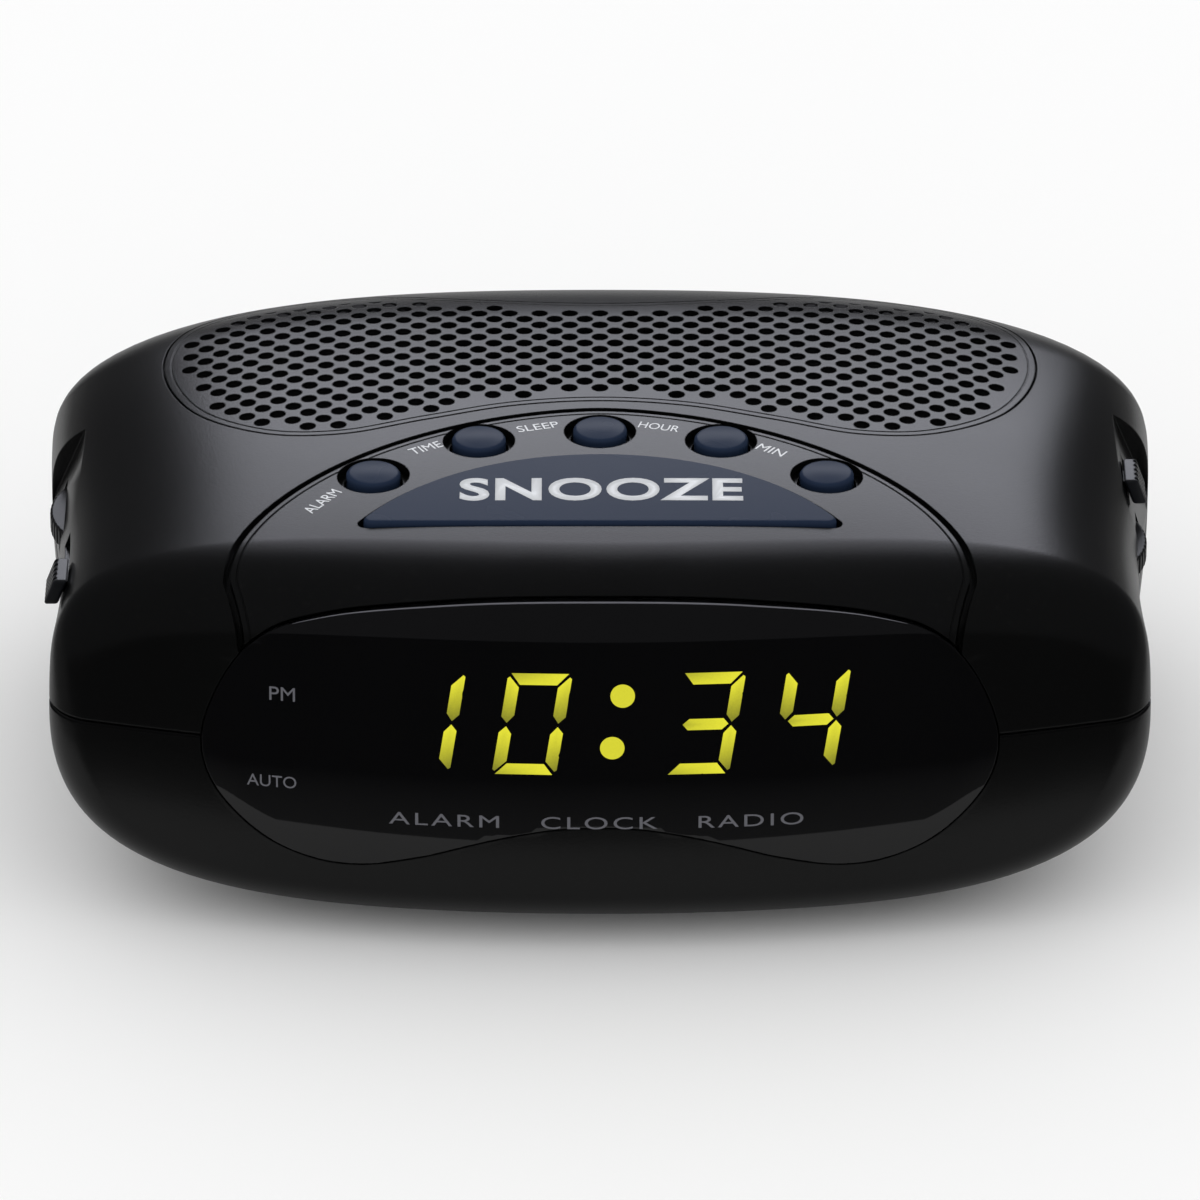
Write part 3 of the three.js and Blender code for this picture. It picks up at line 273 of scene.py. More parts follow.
def under_z(x, y):
    """Height of the underside."""
    share = min(abs(x) / float(half_width(y)), 1)
    return GIRTH - (GIRTH - STAND) * (1 - share ** LOWER[0]) ** (1 / LOWER[1])


# ---- meshes


def add_object(name, data):
    made = bpy.data.objects.new(name, data)
    bpy.context.scene.collection.objects.link(made)
    return made


def mesh_object(name, points, faces):
    """A mesh object from points in millimetres."""
    mesh = bpy.data.meshes.new(name)
    mesh.from_pydata([[c * MM for c in p] for p in points], [], faces)
    mesh.validate()
    return add_object(name, mesh)


def turns(count):
    """Angles of some equal steps round a circle."""
    return [2 * math.pi * i / count for i in range(count)]


def column(items, name, width=1, kind=float):
    """One property of all the vertices, corners or faces of a mesh."""
    values = np.empty(len(items) * width, kind)
    items.foreach_get(name, values)
    return values.reshape(-1, width) if width > 1 else values


def loft(name, rings, ends):
    """A closed surface over rings of the same number of points, closed at each end by a point."""
    count = len(rings[0])
    points = [tuple(p) for ring in rings for p in ring] + [tuple(p) for p in ends]
    first, last = len(points) - 2, len(points) - 1
    faces = []
    for i in range(count):
        j = (i + 1) % count
        for r in range(len(rings) - 1):
            a, b = r * count, (r + 1) * count
            faces.append((a + i, a + j, b + j, b + i))
        end = (len(rings) - 1) * count
        faces.append((first, j, i))
        faces.append((last, end + i, end + j))
    return outward_facing(mesh_object(name, points, faces))


def outward_facing(obj):
    """Turns the faces round if the mesh is inside out."""
    mesh = obj.data
    mesh.calc_loop_triangles()
    points = column(mesh.vertices, "co", 3)
    corners = column(mesh.loop_triangles, "vertices", 3, int)
    a, b, c = points[corners[:, 0]], points[corners[:, 1]], points[corners[:, 2]]
    if np.einsum("ij,ij->i", a, np.cross(b, c)).sum() < 0:
        mesh.flip_normals()
    return obj


def prism(name, outline, axis, low, high):
    """A straight prism of an outline given across an axis: (x, y) for Z, (x, z) for Y, (y, z) for X."""
    place = {
        "Z": lambda a, b, t: (a, b, t),
        "Y": lambda a, b, t: (a, t, b),
        "X": lambda a, b, t: (t, a, b),
    }[axis]
    count = len(outline)
    points = [place(a, b, low) for a, b in outline] + [place(a, b, high) for a, b in outline]
    faces = [tuple(range(count)), tuple(range(2 * count - 1, count - 1, -1))]
    faces += [(i, i + count, (i + 1) % count + count, (i + 1) % count) for i in range(count)]
    return outward_facing(mesh_object(name, points, faces))


def box(name, x0, x1, y0, y1, z0, z1):
    return prism(name, [(x0, y0), (x1, y0), (x1, y1), (x0, y1)], "Z", z0, z1)


def turned(name, profile, sides=64, place=(0, 0, 0), axis=(0, 0, 1)):
    """A piece turned about an axis through its place. The profile holds (radius, height) points and
    starts and ends on the axis."""
    turn = Vector((0, 0, 1)).rotation_difference(Vector(axis)).to_matrix()
    rings = [
        [turn @ Vector((r * math.cos(a), r * math.sin(a), h)) for a in turns(sides)]
        for r, h in profile[1:-1]
    ]
    ends = [turn @ Vector((0, 0, h)) for _, h in (profile[0], profile[-1])]
    start = Vector(place)
    return loft(name, [[p + start for p in ring] for ring in rings], [p + start for p in ends])


def rod(name, radius, low, high, x=0.0, y=0.0, sides=48):
    return turned(name, [(0, low), (radius, low), (radius, high), (0, high)], sides, (x, y, 0))


def rounded(profile, radius, steps=5):
    """A profile with each inner corner rounded to a radius, or less where its edges are short."""
    made = [profile[0]]
    for before, at, after in zip(profile, profile[1:], profile[2:]):
        p, a, b = Vector(at), Vector(before) - Vector(at), Vector(after) - Vector(at)
        reach = min(radius, a.length * 0.45, b.length * 0.45)
        start, end = p + a.normalized() * reach, p + b.normalized() * reach
        for i in range(steps + 1):
            t = i / steps
            point = start * (1 - t) ** 2 + p * (2 * t * (1 - t)) + end * t * t
            made.append((point.x, point.y))
    return made + [profile[-1]]


def drop(*objects):
    for obj in objects:
        mesh = obj.data
        bpy.data.objects.remove(obj)
        if mesh.users == 0:
            bpy.data.meshes.remove(mesh)


def bake(obj):
    """Replaces an object's mesh by what its modifiers make of it, and removes them."""
    bpy.context.view_layer.update()
    graph = bpy.context.evaluated_depsgraph_get()
    made = bpy.data.meshes.new_from_object(obj.evaluated_get(graph))
    old = obj.data
    obj.modifiers.clear()
    obj.data = made
    bpy.data.meshes.remove(old)
    return obj


def combine(obj, operation, *tools, keep=()):
    """Cuts tools from an object, joins them to it or keeps what it has in common with them."""
    for tool in tools:
        modifier = obj.modifiers.new(operation, "BOOLEAN")
        modifier.operation = operation
        modifier.solver = "MANIFOLD"
        modifier.object = tool
        bake(obj)
        if not obj.data.polygons:
            raise RuntimeError(f"{operation} of {tool.name} leaves nothing of {obj.name}")
    drop(*[t for t in tools if t not in keep])
    return obj


def cut(obj, *tools):
    return combine(obj, "DIFFERENCE", *tools)


def join(obj, *tools):
    return combine(obj, "UNION", *tools)


def common(obj, *tools, keep=()):
    return combine(obj, "INTERSECT", *tools, keep=keep)


# ---- outlines


def mirrored(half, offset=0.0, steps=14):
    """A smooth closed outline through half outline points and their mirror images, grown by an offset."""
    through = np.array(half + [(-x, v) for x, v in reversed(half[1:-1])], float)
    count = len(through)
    points, tangents = [], []
    for i in range(count):
        p = [through[(i + k - 1) % count] for k in range(4)]
        gaps = [max(np.linalg.norm(p[k + 1] - p[k]), 1e-9) ** 0.5 for k in range(3)]
        middle = (p[2] - p[1]) / gaps[1]
        t1 = ((p[1] - p[0]) / gaps[0] - (p[2] - p[0]) / (gaps[0] + gaps[1]) + middle) * gaps[1]
        t2 = (middle - (p[3] - p[1]) / (gaps[1] + gaps[2]) + (p[3] - p[2]) / gaps[2]) * gaps[1]
        a, b = 2 * p[1] - 2 * p[2] + t1 + t2, -3 * p[1] + 3 * p[2] - 2 * t1 - t2
        for k in range(steps):
            t = k / steps
            points.append(a * t**3 + b * t * t + t1 * t + p[1])
            tangents.append(3 * a * t * t + 2 * b * t + t1)
    points, tangents = np.array(points), np.array(tangents)
    tangents /= np.linalg.norm(tangents, axis=1)[:, None]
    return [tuple(q) for q in points + offset * np.stack([-tangents[:, 1], tangents[:, 0]], 1)]


def panel_outline(offset=0.0, steps=96):
    arch = []
    for i in range(steps + 1):
        c, s = math.cos(math.pi * i / steps), math.sin(math.pi * i / steps)
        across = math.copysign(max(abs(c), 1e-12) ** (2 / PANEL_POWER), c) if abs(c) > 1e-9 else 0.0
        back = PANEL_Y + (PANEL_LENGTH + offset) * max(s, 0) ** (2 / PANEL_POWER)
        arch.append(((PANEL_HALF + offset) * across, back))
    foot = PANEL_HALF + offset - PANEL_FOOT_NARROWING
    foot_y = PANEL_Y - FRONT_TOP
    return arch + [(-foot, foot_y), (-foot, -DEPTH), (foot, -DEPTH), (foot, foot_y)]


def snooze_outline(offset=0.0, corner=1.4, steps=48):
    """A segment of a circle with its two sharp ends rounded."""
    radius = (SNOOZE_HALF**2 + SNOOZE_DEPTH**2) / (2 * SNOOZE_DEPTH)
    centre = SNOOZE_BACK - radius
    chord = SNOOZE_BACK - SNOOZE_DEPTH
    inner, low = radius + offset - corner, chord - offset + corner
    half = math.sqrt(inner**2 - (low - centre) ** 2)
    swing = math.acos((low - centre) / inner)
    points = []
    for i in range(steps + 1):
        angle = swing * (1 - 2 * i / steps)
        points.append((-(inner + corner) * math.sin(angle), centre + (inner + corner) * math.cos(angle)))
    for side in (1, -1):
        turn = [(math.pi / 2 - swing) + (swing - math.pi) * i / 8 for i in range(1, 9)]
        turn = turn if side > 0 else turn[::-1]
        points += [(side * (half + corner * math.cos(a)), low + corner * math.sin(a)) for a in turn]
    return points


def skin(name, blank, depth):
    """The piece of the case's skin inside a blank, from its surface down to a depth."""
    made = body_mesh(name)
    common(made, blank)
    return cut(made, body_mesh("inner", depth))


def ring_cut(obj, outer, inner, axis, reach, depth):
    """Cuts a fine groove, as deep as given, between two outlines."""
    band = cut(prism("band", outer, axis, *reach), prism("hole", inner, axis, -FAR, FAR))
    cut(band, body_mesh("inner", depth))
    return cut(obj, band)


# ---- smooth shading

CLOSE = 0.9  # least cosine between a face and the case's form that it follows
SMOOTH_ANGLE = 34


def dress(obj, follow=True):
    """Sets corner normals: those of the case's form where a face lies along it, and the mean of
    neighbouring faces at a small angle elsewhere."""
    mesh = obj.data
    corner = column(mesh.loops, "vertex_index", kind=int)
    points = column(mesh.vertices, "co", 3)
    totals = column(mesh.polygons, "loop_total", kind=int)
    face = np.repeat(column(mesh.polygons, "normal", 3), totals, axis=0)
    weight = np.repeat(column(mesh.polygons, "area"), totals) + 1e-12
    normals = face.copy()
    along = np.zeros(len(corner), bool)
    if follow:
        form = outward(points / MM)[corner]
        along = np.einsum("ij,ij->i", form, face) > CLOSE
        normals[along] = form[along]
    rest = np.flatnonzero(~along)
    order = rest[np.argsort(corner[rest], kind="stable")]
    starts = np.flatnonzero(np.diff(corner[order], prepend=-1))
    for start, end in zip(starts, list(starts[1:]) + [len(order)]):
        group = order[start:end]
        near = face[group] @ face[group].T > math.cos(math.radians(SMOOTH_ANGLE))
        normals[group] = near @ (face[group] * weight[group][:, None])
    lengths = np.linalg.norm(normals, axis=1)
    bad = lengths < 1e-12
    normals[bad] = face[bad]
    normals /= np.maximum(np.linalg.norm(normals, axis=1), 1e-12)[:, None]
    mesh.polygons.foreach_set("use_smooth", np.ones(len(mesh.polygons), bool))
    mesh.normals_split_custom_set(normals)
    return obj


# ---- nodes, and repeated shapes


def fill(tree, made, inputs):
    """Gives each named or numbered input of a node a value or a link."""
    for name, value in inputs.items():
        if isinstance(value, bpy.types.NodeSocket):
            tree.links.new(value, made.inputs[name])
        else:
            made.inputs[name].default_value = value
    return made


def node(tree, kind, inputs=None, **settings):
    made = tree.nodes.new(kind)
    for name, value in settings.items():
        setattr(made, name, value)
    return fill(tree, made, inputs or {})


def perforation_group():
    """Instances a tapered round cutter on every point of the mesh it is given."""
    group = bpy.data.node_groups.new("round_cutters", "GeometryNodeTree")
    kinds = {"Geometry": "Geometry", "Low Radius": "Float", "High Radius": "Float", "Length": "Float",
             "Sides": "Int", "Material": "Material"}
    for name, kind in kinds.items():
        group.interface.new_socket(name, in_out="INPUT", socket_type="NodeSocket" + kind)
    group.interface.new_socket("Geometry", in_out="OUTPUT", socket_type="NodeSocketGeometry")
    given = node(group, "NodeGroupInput").outputs
    cone = node(group, "GeometryNodeMeshCone", {
        "Vertices": given["Sides"], "Radius Top": given["High Radius"],
        "Radius Bottom": given["Low Radius"], "Depth": given["Length"],
    })
    spread = node(group, "GeometryNodeInstanceOnPoints",
                  {"Points": given["Geometry"], "Instance": cone.outputs["Mesh"]})
    real = node(group, "GeometryNodeRealizeInstances", {"Geometry": spread.outputs["Instances"]})
    paint = node(group, "GeometryNodeSetMaterial",
                 {"Geometry": real.outputs["Geometry"], "Material": given["Material"]})
    node(group, "NodeGroupOutput", {"Geometry": paint.outputs["Geometry"]})
    return group


CUTTERS = perforation_group()


def cutters(name, places, low, high, length, sides=20):
    """Round cutters standing on some places, made by the node group."""
    made = mesh_object(name, places, [])
    modifier = made.modifiers.new("cutters", "NODES")
    modifier.node_group = CUTTERS
    values = {"Low Radius": low * MM, "High Radius": high * MM, "Length": length * MM, "Sides": sides}
    for socket in CUTTERS.interface.items_tree:
        if socket.name in values:
            modifier[socket.identifier] = values[socket.name]
    bake(made)
    return outward_facing(made)


# ---- materials


def shader_group(name, inputs, outputs):
    """An empty shader group with number inputs, and what its inputs give."""
    group = bpy.data.node_groups.new(name, "ShaderNodeTree")
    for label, value in inputs.items():
        made = group.interface.new_socket(label, in_out="INPUT", socket_type="NodeSocketFloat")
        made.default_value = value
    for label, kind in outputs.items():
        group.interface.new_socket(label, in_out="OUTPUT", socket_type="NodeSocket" + kind)
    return group, node(group, "NodeGroupInput").outputs


def noise(tree, scale, detail, roughness=0.5):
    place = node(tree, "ShaderNodeTexCoord").outputs["Object"]
    inputs = {"Vector": place, "Scale": scale, "Detail": detail, "Roughness": roughness}
    return node(tree, "ShaderNodeTexNoise", inputs).outputs["Fac"]


def reckon(tree, operation, a, b):
    return node(tree, "ShaderNodeMath", {0: a, 1: b}, operation=operation).outputs[0]


def ranged(tree, value, limits):
    """Maps a value from or to the limits given."""
    return node(tree, "ShaderNodeMapRange", {"Value": value, **limits}).outputs["Result"]


def mixed(tree, factor, a, b):
    inputs = {"Factor": factor, "A": a, "B": b}
    return node(tree, "ShaderNodeMix", inputs, data_type="RGBA").outputs["Result"]


def grain_group():
    """Rounded edges and a fine moulded grain: a normal, and a slow mottle from 0 to 1."""
    group, given = shader_group(
        "moulded_surface",
        {"Edge": 0.0003, "Grain": 0.3, "Grain Scale": 2600.0},
        {"Normal": "Vector", "Mottle": "Float"},
    )
    edge = node(group, "ShaderNodeBevel", {"Radius": given["Edge"]}, samples=4)
    bump = node(group, "ShaderNodeBump", {
        "Distance": 0.00006, "Strength": given["Grain"], "Normal": edge.outputs["Normal"],
        "Height": noise(group, given["Grain Scale"], 1.0),
    })
    node(group, "NodeGroupOutput", {"Normal": bump.outputs["Normal"], "Mottle": noise(group, 38.0, 3.0, 0.6)})
    return group


def dust_group():
    """A thin scatter of dust on what faces up, from 0 to 1."""
    group, given = shader_group("light_dust", {"Amount": 0.2}, {"Dust": "Float"})
    specks = ranged(group, noise(group, 900.0, 3.0, 0.7), {"From Min": 0.58, "From Max": 0.8})
    facing = node(group, "ShaderNodeSeparateXYZ", {0: node(group, "ShaderNodeNewGeometry").outputs["Normal"]})
    up = ranged(group, facing.outputs["Z"], {"From Min": 0.2, "From Max": 1.0})
    thin = reckon(group, "MULTIPLY", specks, noise(group, 30.0, 2.0))
    laid = reckon(group, "MULTIPLY", thin, up)
    node(group, "NodeGroupOutput", {"Dust": reckon(group, "MULTIPLY", laid, given["Amount"])})
    return group


MOULDED, DUST = grain_group(), dust_group()
DUST_COLOUR = (0.32, 0.31, 0.29, 1)


def new_material(name):
    made = bpy.data.materials.new(name)
    made.use_nodes = True
    return made, made.node_tree, made.node_tree.nodes["Principled BSDF"]


def moulded_material(name, colour, other=None, roughness=(0.35, 0.45), metallic=0.0, edge=0.25, grain=0.25,
                     scale=2600.0, dust=0.15, ior=1.5):
    """A finish whose colour and roughness drift over the surface, with rounded edges and grain."""
    made, tree, shader = new_material(name)
    inputs = {"Edge": edge * MM, "Grain": grain, "Grain Scale": scale}
    surface = node(tree, "ShaderNodeGroup", inputs, node_tree=MOULDED).outputs
    laid = node(tree, "ShaderNodeGroup", {"Amount": dust}, node_tree=DUST).outputs["Dust"]
    other = other or [c * 1.35 for c in colour]
    tone = mixed(tree, surface["Mottle"], (*colour, 1), (*other, 1))
    low, high = roughness
    fill(tree, shader, {
        "Base Color": mixed(tree, laid, tone, DUST_COLOUR),
        "Roughness": ranged(tree, surface["Mottle"], {"To Min": low, "To Max": high}),
        "Normal": surface["Normal"], "Metallic": metallic, "IOR": ior,
    })
    return made


def glow_material(name, dim, bright):
    """Lit display segments: brighter or dimmer by the glow attribute, under a gloss surface."""
    made, tree, shader = new_material(name)
    glow = node(tree, "ShaderNodeAttribute", attribute_name="glow").outputs["Fac"]
    speckle = reckon(tree, "SUBTRACT", noise(tree, 5000.0, 1.0), 0.5)
    level = reckon(tree, "ADD", glow, reckon(tree, "MULTIPLY", speckle, 0.25))
    fill(tree, shader, {
        "Emission Color": mixed(tree, level, (*dim, 1), (*bright, 1)), "Emission Strength": 1.0,
        "Base Color": (0.02, 0.02, 0.01, 1), "Roughness": 0.05,
    })
    return made


FINISHES = {
    "case_black": dict(colour=(0.0022, 0.0023, 0.0023), roughness=(0.24, 0.28), grain=0.2, dust=0.02,
                       ior=1.34),
    "panel_grey": dict(colour=(0.0024, 0.0025, 0.0026), roughness=(0.24, 0.28), grain=0.2, dust=0.02,
                       ior=1.36),
    "lens_black": dict(colour=(0.002, 0.002, 0.0022), roughness=(0.03, 0.05), edge=0.2, grain=0.0, dust=0.01),
    # painted highlight: this lighter grey on the bead stands in for light caught by the window's top edge
    "painted_edge_highlight": dict(colour=(0.1, 0.1, 0.115), roughness=(0.2, 0.3), edge=0.05, grain=0.1, dust=0.0),
    "key_blue": dict(colour=(0.012, 0.02, 0.042), other=(0.015, 0.025, 0.05), roughness=(0.24, 0.3),
                     edge=0.3, grain=0.12, dust=0.02, ior=1.14),
    "control_dark": dict(colour=(0.004, 0.004, 0.0045), roughness=(0.3, 0.4), grain=0.3, dust=0.05, ior=1.4),
    "knob_grey": dict(colour=(0.006, 0.0065, 0.008), roughness=(0.25, 0.32), edge=0.3, grain=0.1, dust=0.04,
                      ior=1.4),
    "rubber_black": dict(colour=(0.012, 0.012, 0.012), other=(0.03, 0.029, 0.028), roughness=(0.75, 0.9),
                         grain=0.6, dust=0.5),
    "screw_steel": dict(colour=(0.5, 0.5, 0.52), other=(0.62, 0.6, 0.56), roughness=(0.25, 0.4),
                        metallic=1.0, grain=0.2),
    "circuit_board": dict(colour=(0.3, 0.17, 0.06), other=(0.4, 0.25, 0.1), roughness=(0.45, 0.6),
                          grain=0.4, dust=0.4),
    "component_black": dict(colour=(0.015, 0.015, 0.016), roughness=(0.4, 0.55), grain=0.5, dust=0.3),
    "core_steel": dict(colour=(0.3, 0.3, 0.31), other=(0.2, 0.16, 0.13), roughness=(0.35, 0.55),
                       metallic=0.9, grain=0.3, dust=0.3),
    "copper_winding": dict(colour=(0.45, 0.16, 0.05), other=(0.3, 0.1, 0.03), roughness=(0.3, 0.45),
                           metallic=0.6, grain=0.5),
    "ferrite_grey": dict(colour=(0.05, 0.048, 0.046), other=(0.09, 0.085, 0.08), roughness=(0.5, 0.7),
                         grain=0.7),
    "cone_paper": dict(colour=(0.025, 0.023, 0.02), other=(0.04, 0.036, 0.032), roughness=(0.85, 0.95),
                       grain=1.0, scale=1200.0),
    "battery_jacket": dict(colour=(0.04, 0.08, 0.15), other=(0.05, 0.1, 0.18), roughness=(0.25, 0.35),
                           metallic=0.3, grain=0.1),
    "legend_white": dict(colour=(0.62, 0.64, 0.67), other=(0.7, 0.72, 0.75), roughness=(0.4, 0.5),
                         edge=0.02, grain=0.2),
    "legend_grey": dict(colour=(0.09, 0.09, 0.105), other=(0.12, 0.12, 0.135), roughness=(0.35, 0.45),
                        edge=0.02, grain=0.2),
}
LOOK = {name: moulded_material(name, **finish) for name, finish in FINISHES.items()}
LOOK["led_glow"] = glow_material("led_glow", (0.2, 0.2, 0.015), (0.78, 0.75, 0.035))


def finish(obj, slot, body="case", replaced=(), follow=True, shade=True, look=None):
    """Gives a finished piece its material, its body and the CAD nodes it stands for."""
    if shade:
        dress(obj, follow)
    obj.data.materials.clear()
    obj.data.materials.append(LOOK[look or slot])
    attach(obj, body)
    if replaced:
        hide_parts(*replaced)
    return obj


# ---- cutting blanks


def grille_blank(offset=0.0):
    return prism("grille_blank", mirrored(GRILLE_OUTLINE, offset), "Z", GIRTH, FAR)


def lens_blank(offset=0.0):
    return prism("lens_blank", mirrored(LENS_OUTLINE, offset), "Y", -FAR, -DEPTH / 4)


def panel_blank(offset=0.0, lens_gap=0.0):
    arch = prism("panel_blank", panel_outline(offset), "Z", PANEL_LOWEST - offset, FAR)
    return cut(arch, lens_blank(lens_gap))


def seat(blank, depth=SEAT):
    """A recess: a blank without what lies deeper than a depth under the case's surface."""
    return cut(blank, body_mesh("inner", depth))


def face_wedge(side, shift=0.0):
    """The wedge cut from one side's upper corner, where its controls lie."""
    front_low, front_high, back_high, back_low = SIDES[side]["face"]
    top = FACE_Z + 3
    low_x, top_x = face_x(FACE_BOTTOM) - shift, face_x(top) - shift
    slant = [(top_x, top), (FAR, top), (FAR, FACE_BOTTOM), (low_x, FACE_BOTTOM)]
    slant = [(side * x, z) for x, z in slant]
    outline = [(front_low, FACE_BOTTOM), (back_low, FACE_BOTTOM), (back_high, top), (front_high, top)]
    made = prism("wedge", slant, "Y", -DEPTH, DEPTH)
    return common(made, prism("wedge_side", outline, "X", *sorted((0, side * FAR))))


def face_x(z):
    return WIDTH / 2 - FACE_INSET + (FACE_Z - z) * math.tan(math.radians(FACE_TILT))


def side_box(name, side, x0, x1, y0, y1, z0, z1):
    low, high = sorted((side * x0, side * x1))
    return box(name, low, high, y0, y1, z0, z1)


def node_box(name):
    """A CAD node's lowest and highest corner, in millimetres."""
    low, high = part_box(name)
    return low / MM, high / MM


def wheel_slot(side):
    low, high = node_box(SIDES[side]["wheel"])
    middle = (low + high) / 2
    radius = (high.y - low.y) / 2
    return rod("slot", radius + WHEEL_GAP, low.z - WHEEL_GAP, high.z + WHEEL_GAP, middle.x, middle.y, 96)


def knob_slot(side):
    at = SIDES[side]
    return side_box("slot", side, WIDTH / 2 - 12, FAR, at["y"] - 2.1, at["y"] + 2.1 + at["travel"],
                    at["z"] - 1.3, at["z"] + 1.3)


# ---- shells

COARSE = dict(section=12, length=16, edge=6, cap=4)
LINE_HALF, LINE_DEPTH = 0.45, 0.3  # the groove along the parting line
ROOF_FROM = 50  # height from which the holes in the roof are cut
BAR_GAP, CAP_GAP, WHEEL_GAP = 0.5, 0.4, 0.6
BOSS_RADIUS, SCREW_HEAD, SCREW_SHANK, SCREW_DEPTH = 5.2, 3.3, 1.8, 4
FOOT_SEAT, FOOT_RISE = 6.3, 1.5
GLAND_HOLE, GLAND_FROM = 4.5, 40
WELL_WALL, WELL_TOP, BAY_TOP = 1.4, 25.8, 24.4
VENT_X, VENT_WIDTH, VENT_PITCH, VENT_COUNT = -30.8, 1.6, 5, 6


def make_shells():
    hollow = body_mesh("case", 0.0, section=26, length=60, edge=18, cap=12)
    cut(hollow, body_mesh("inner", WALL, **COARSE))
    line = box("line", -FAR, FAR, -FAR, FAR, PARTING - LINE_HALF, PARTING + LINE_HALF)
    cut(hollow, seat(line, LINE_DEPTH))
    top, base = add_object("case_top", hollow.data.copy()), hollow
    common(top, box("above", -FAR, FAR, -FAR, FAR, PARTING + GAP / 2, FAR))
    common(base, box("below", -FAR, FAR, -FAR, FAR, -FAR, PARTING - GAP / 2))
    inner = body_mesh("bulk", SEAT + GAP, **COARSE)
    for side in (1, -1):
        pad = common(face_wedge(side, WALL), inner, keep=(inner,))
        join(top, pad)
    drop(inner)
    speaker = rod("speaker_hole", SPEAKER_HOLE, ROOF_FROM, FAR, 0, SPEAKER_Y)
    common(speaker, grille_blank(-2.0))
    cut(
        top,
        seat(grille_blank(0.0)), seat(panel_blank(0.0)), seat(lens_blank(0.0)), speaker,
        prism("snooze_hole", snooze_outline(BAR_GAP), "Z", ROOF_FROM, FAR),
        *[rod("hole", BUTTON_RADIUS + CAP_GAP, ROOF_FROM, FAR, *at) for at in BUTTONS.values()],
        *[face_wedge(side) for side in (1, -1)],
        *[wheel_slot(side) for side in (1, -1)],
        *[knob_slot(side) for side in (1, -1)],
    )
    low, high = node_box("battery_door")
    cut(base, seat(lens_blank(0.0)))
    bay = (low.x - GAP, high.x + GAP, low.y - GAP, high.y + 2 * GAP)
    well = box("well", bay[0] - WELL_WALL, bay[1] + WELL_WALL, bay[2] - WELL_WALL, bay[3] + WELL_WALL,
               STAND + 1, WELL_TOP)
    join(base, common(well, body_mesh("bulk", 1.2, **COARSE)))
    cut(base, box("bay", *bay, -FAR, BAY_TOP))
    for x, y in BOSSES:
        boss = rod("boss", BOSS_RADIUS, STAND, PARTING - GAP, x, y)
        join(base, common(boss, body_mesh("bulk", 1.2, **COARSE)))
        head = rod("head", SCREW_HEAD, -FAR, under_z(x, y) + SCREW_DEPTH, x, y)
        cut(base, head, rod("shank", SCREW_SHANK, -FAR, FAR, x, y))
    cut(base, *[rod("foot_seat", FOOT_SEAT, -FAR, under_z(54, 36) + FOOT_RISE, x, y) for x, y in FEET])
    low, high = node_box("cable_gland")
    middle = (low + high) / 2
    profile = [(0, GLAND_FROM), (GLAND_HOLE, GLAND_FROM), (GLAND_HOLE, FAR), (0, FAR)]
    cut(base, turned("gland_hole", profile, 48, (middle.x, 0, middle.z), (0, 1, 0)))
    vents = [VENT_X + VENT_PITCH * i for i in range(VENT_COUNT)]
    cut(base, *[box("vent", x, x + VENT_WIDTH, 25, 47, -FAR, STAND + 8) for x in vents])
    finish(top, "case_black", replaced=["top_shell"]).name = "case_top"
    finish(base, "case_black", replaced=["base_shell"]).name = "case_base"


# ---- grille, panel and lens

HOLE_PITCH, HOLE_RADIUS, HOLE_ROWS, HOLE_COLUMNS = 5.0, 1.34, 24, 15
HOLE_MARGIN, DIMPLE_DEPTH = 3.4, 0.75
OPEN_RADIUS, OPEN_Y = 27.0, 33.0  # where the holes go through to the speaker
GRILLE_GAP, PANEL_GAP, LENS_GAP = 0.35, 1.2, 0.25
GRILLE_LINES, PANEL_LINES = (-1.35, -1.6), (-2.0, -2.3)  # edges of the fine grooves


def inside(outline, x, y):
    """True where a point lies inside a closed outline."""
    crossings = 0
    for (ax, ay), (bx, by) in zip(outline, outline[1:] + outline[:1]):
        if (ay > y) != (by > y) and x < ax + (bx - ax) * (y - ay) / (by - ay):
            crossings += 1
    return crossings % 2 == 1


def make_grille():
    """The cover's skin with rows of holes, open over the speaker and blind round it."""
    made = skin("speaker_cover", grille_blank(-GRILLE_GAP), SKIN)
    field = mirrored(GRILLE_OUTLINE, -HOLE_MARGIN)
    through, blind = [], []
    for row in range(-HOLE_ROWS, HOLE_ROWS + 1):
        y = SPEAKER_Y + row * HOLE_PITCH / 2
        shift = 0.0 if row % 2 == 0 else HOLE_PITCH / 2
        for place in range(-HOLE_COLUMNS, HOLE_COLUMNS + 1):
            x = shift + place * HOLE_PITCH
            if not inside(field, x, y):
                continue
            height = float(top_z(np.array(x), np.array(y)))
            if math.hypot(x, y - OPEN_Y) < OPEN_RADIUS:
                through.append((x, y, height - SKIN - 1))
            else:
                blind.append((x, y, height - DIMPLE_DEPTH))
    cut(made, cutters("open_holes", through, HOLE_RADIUS * 0.96, HOLE_RADIUS * 1.04, SKIN + 2))
    cut(made, cutters("dimples", blind, HOLE_RADIUS * 0.92, HOLE_RADIUS * 1.08, 2.0))
    ring_cut(made, *[mirrored(GRILLE_OUTLINE, edge) for edge in GRILLE_LINES], "Z", (GIRTH, FAR), 0.1)
    finish(made, "panel_grey", replaced=["speaker_grille"])


def make_panel():
    made = skin("key_panel", panel_blank(-PANEL_GAP, GAP), SKIN)
    ring_cut(made, *[panel_outline(edge) for edge in PANEL_LINES], "Z", (PANEL_LOWEST, FAR), 0.2)
    cut(
        made,
        prism("snooze_hole", snooze_outline(BAR_GAP), "Z", GIRTH, FAR),
        *[rod("well", BUTTON_RING, GIRTH, FAR, *at) for at in BUTTONS.values()],
    )
    finish(made, "panel_grey", replaced=["control_panel"])


# Size of the painted highlight bead along the window's upper edge
EDGE_HALF, EDGE_RADIUS = 49.0, 0.16


def make_lens():
    made = skin("window", lens_blank(-LENS_GAP), SKIN)
    finish(made, "lens_black", replaced=["display_lens"])
    # a lighter grey bead laid along the top edge as a painted highlight
    make_painted_edge_bead()


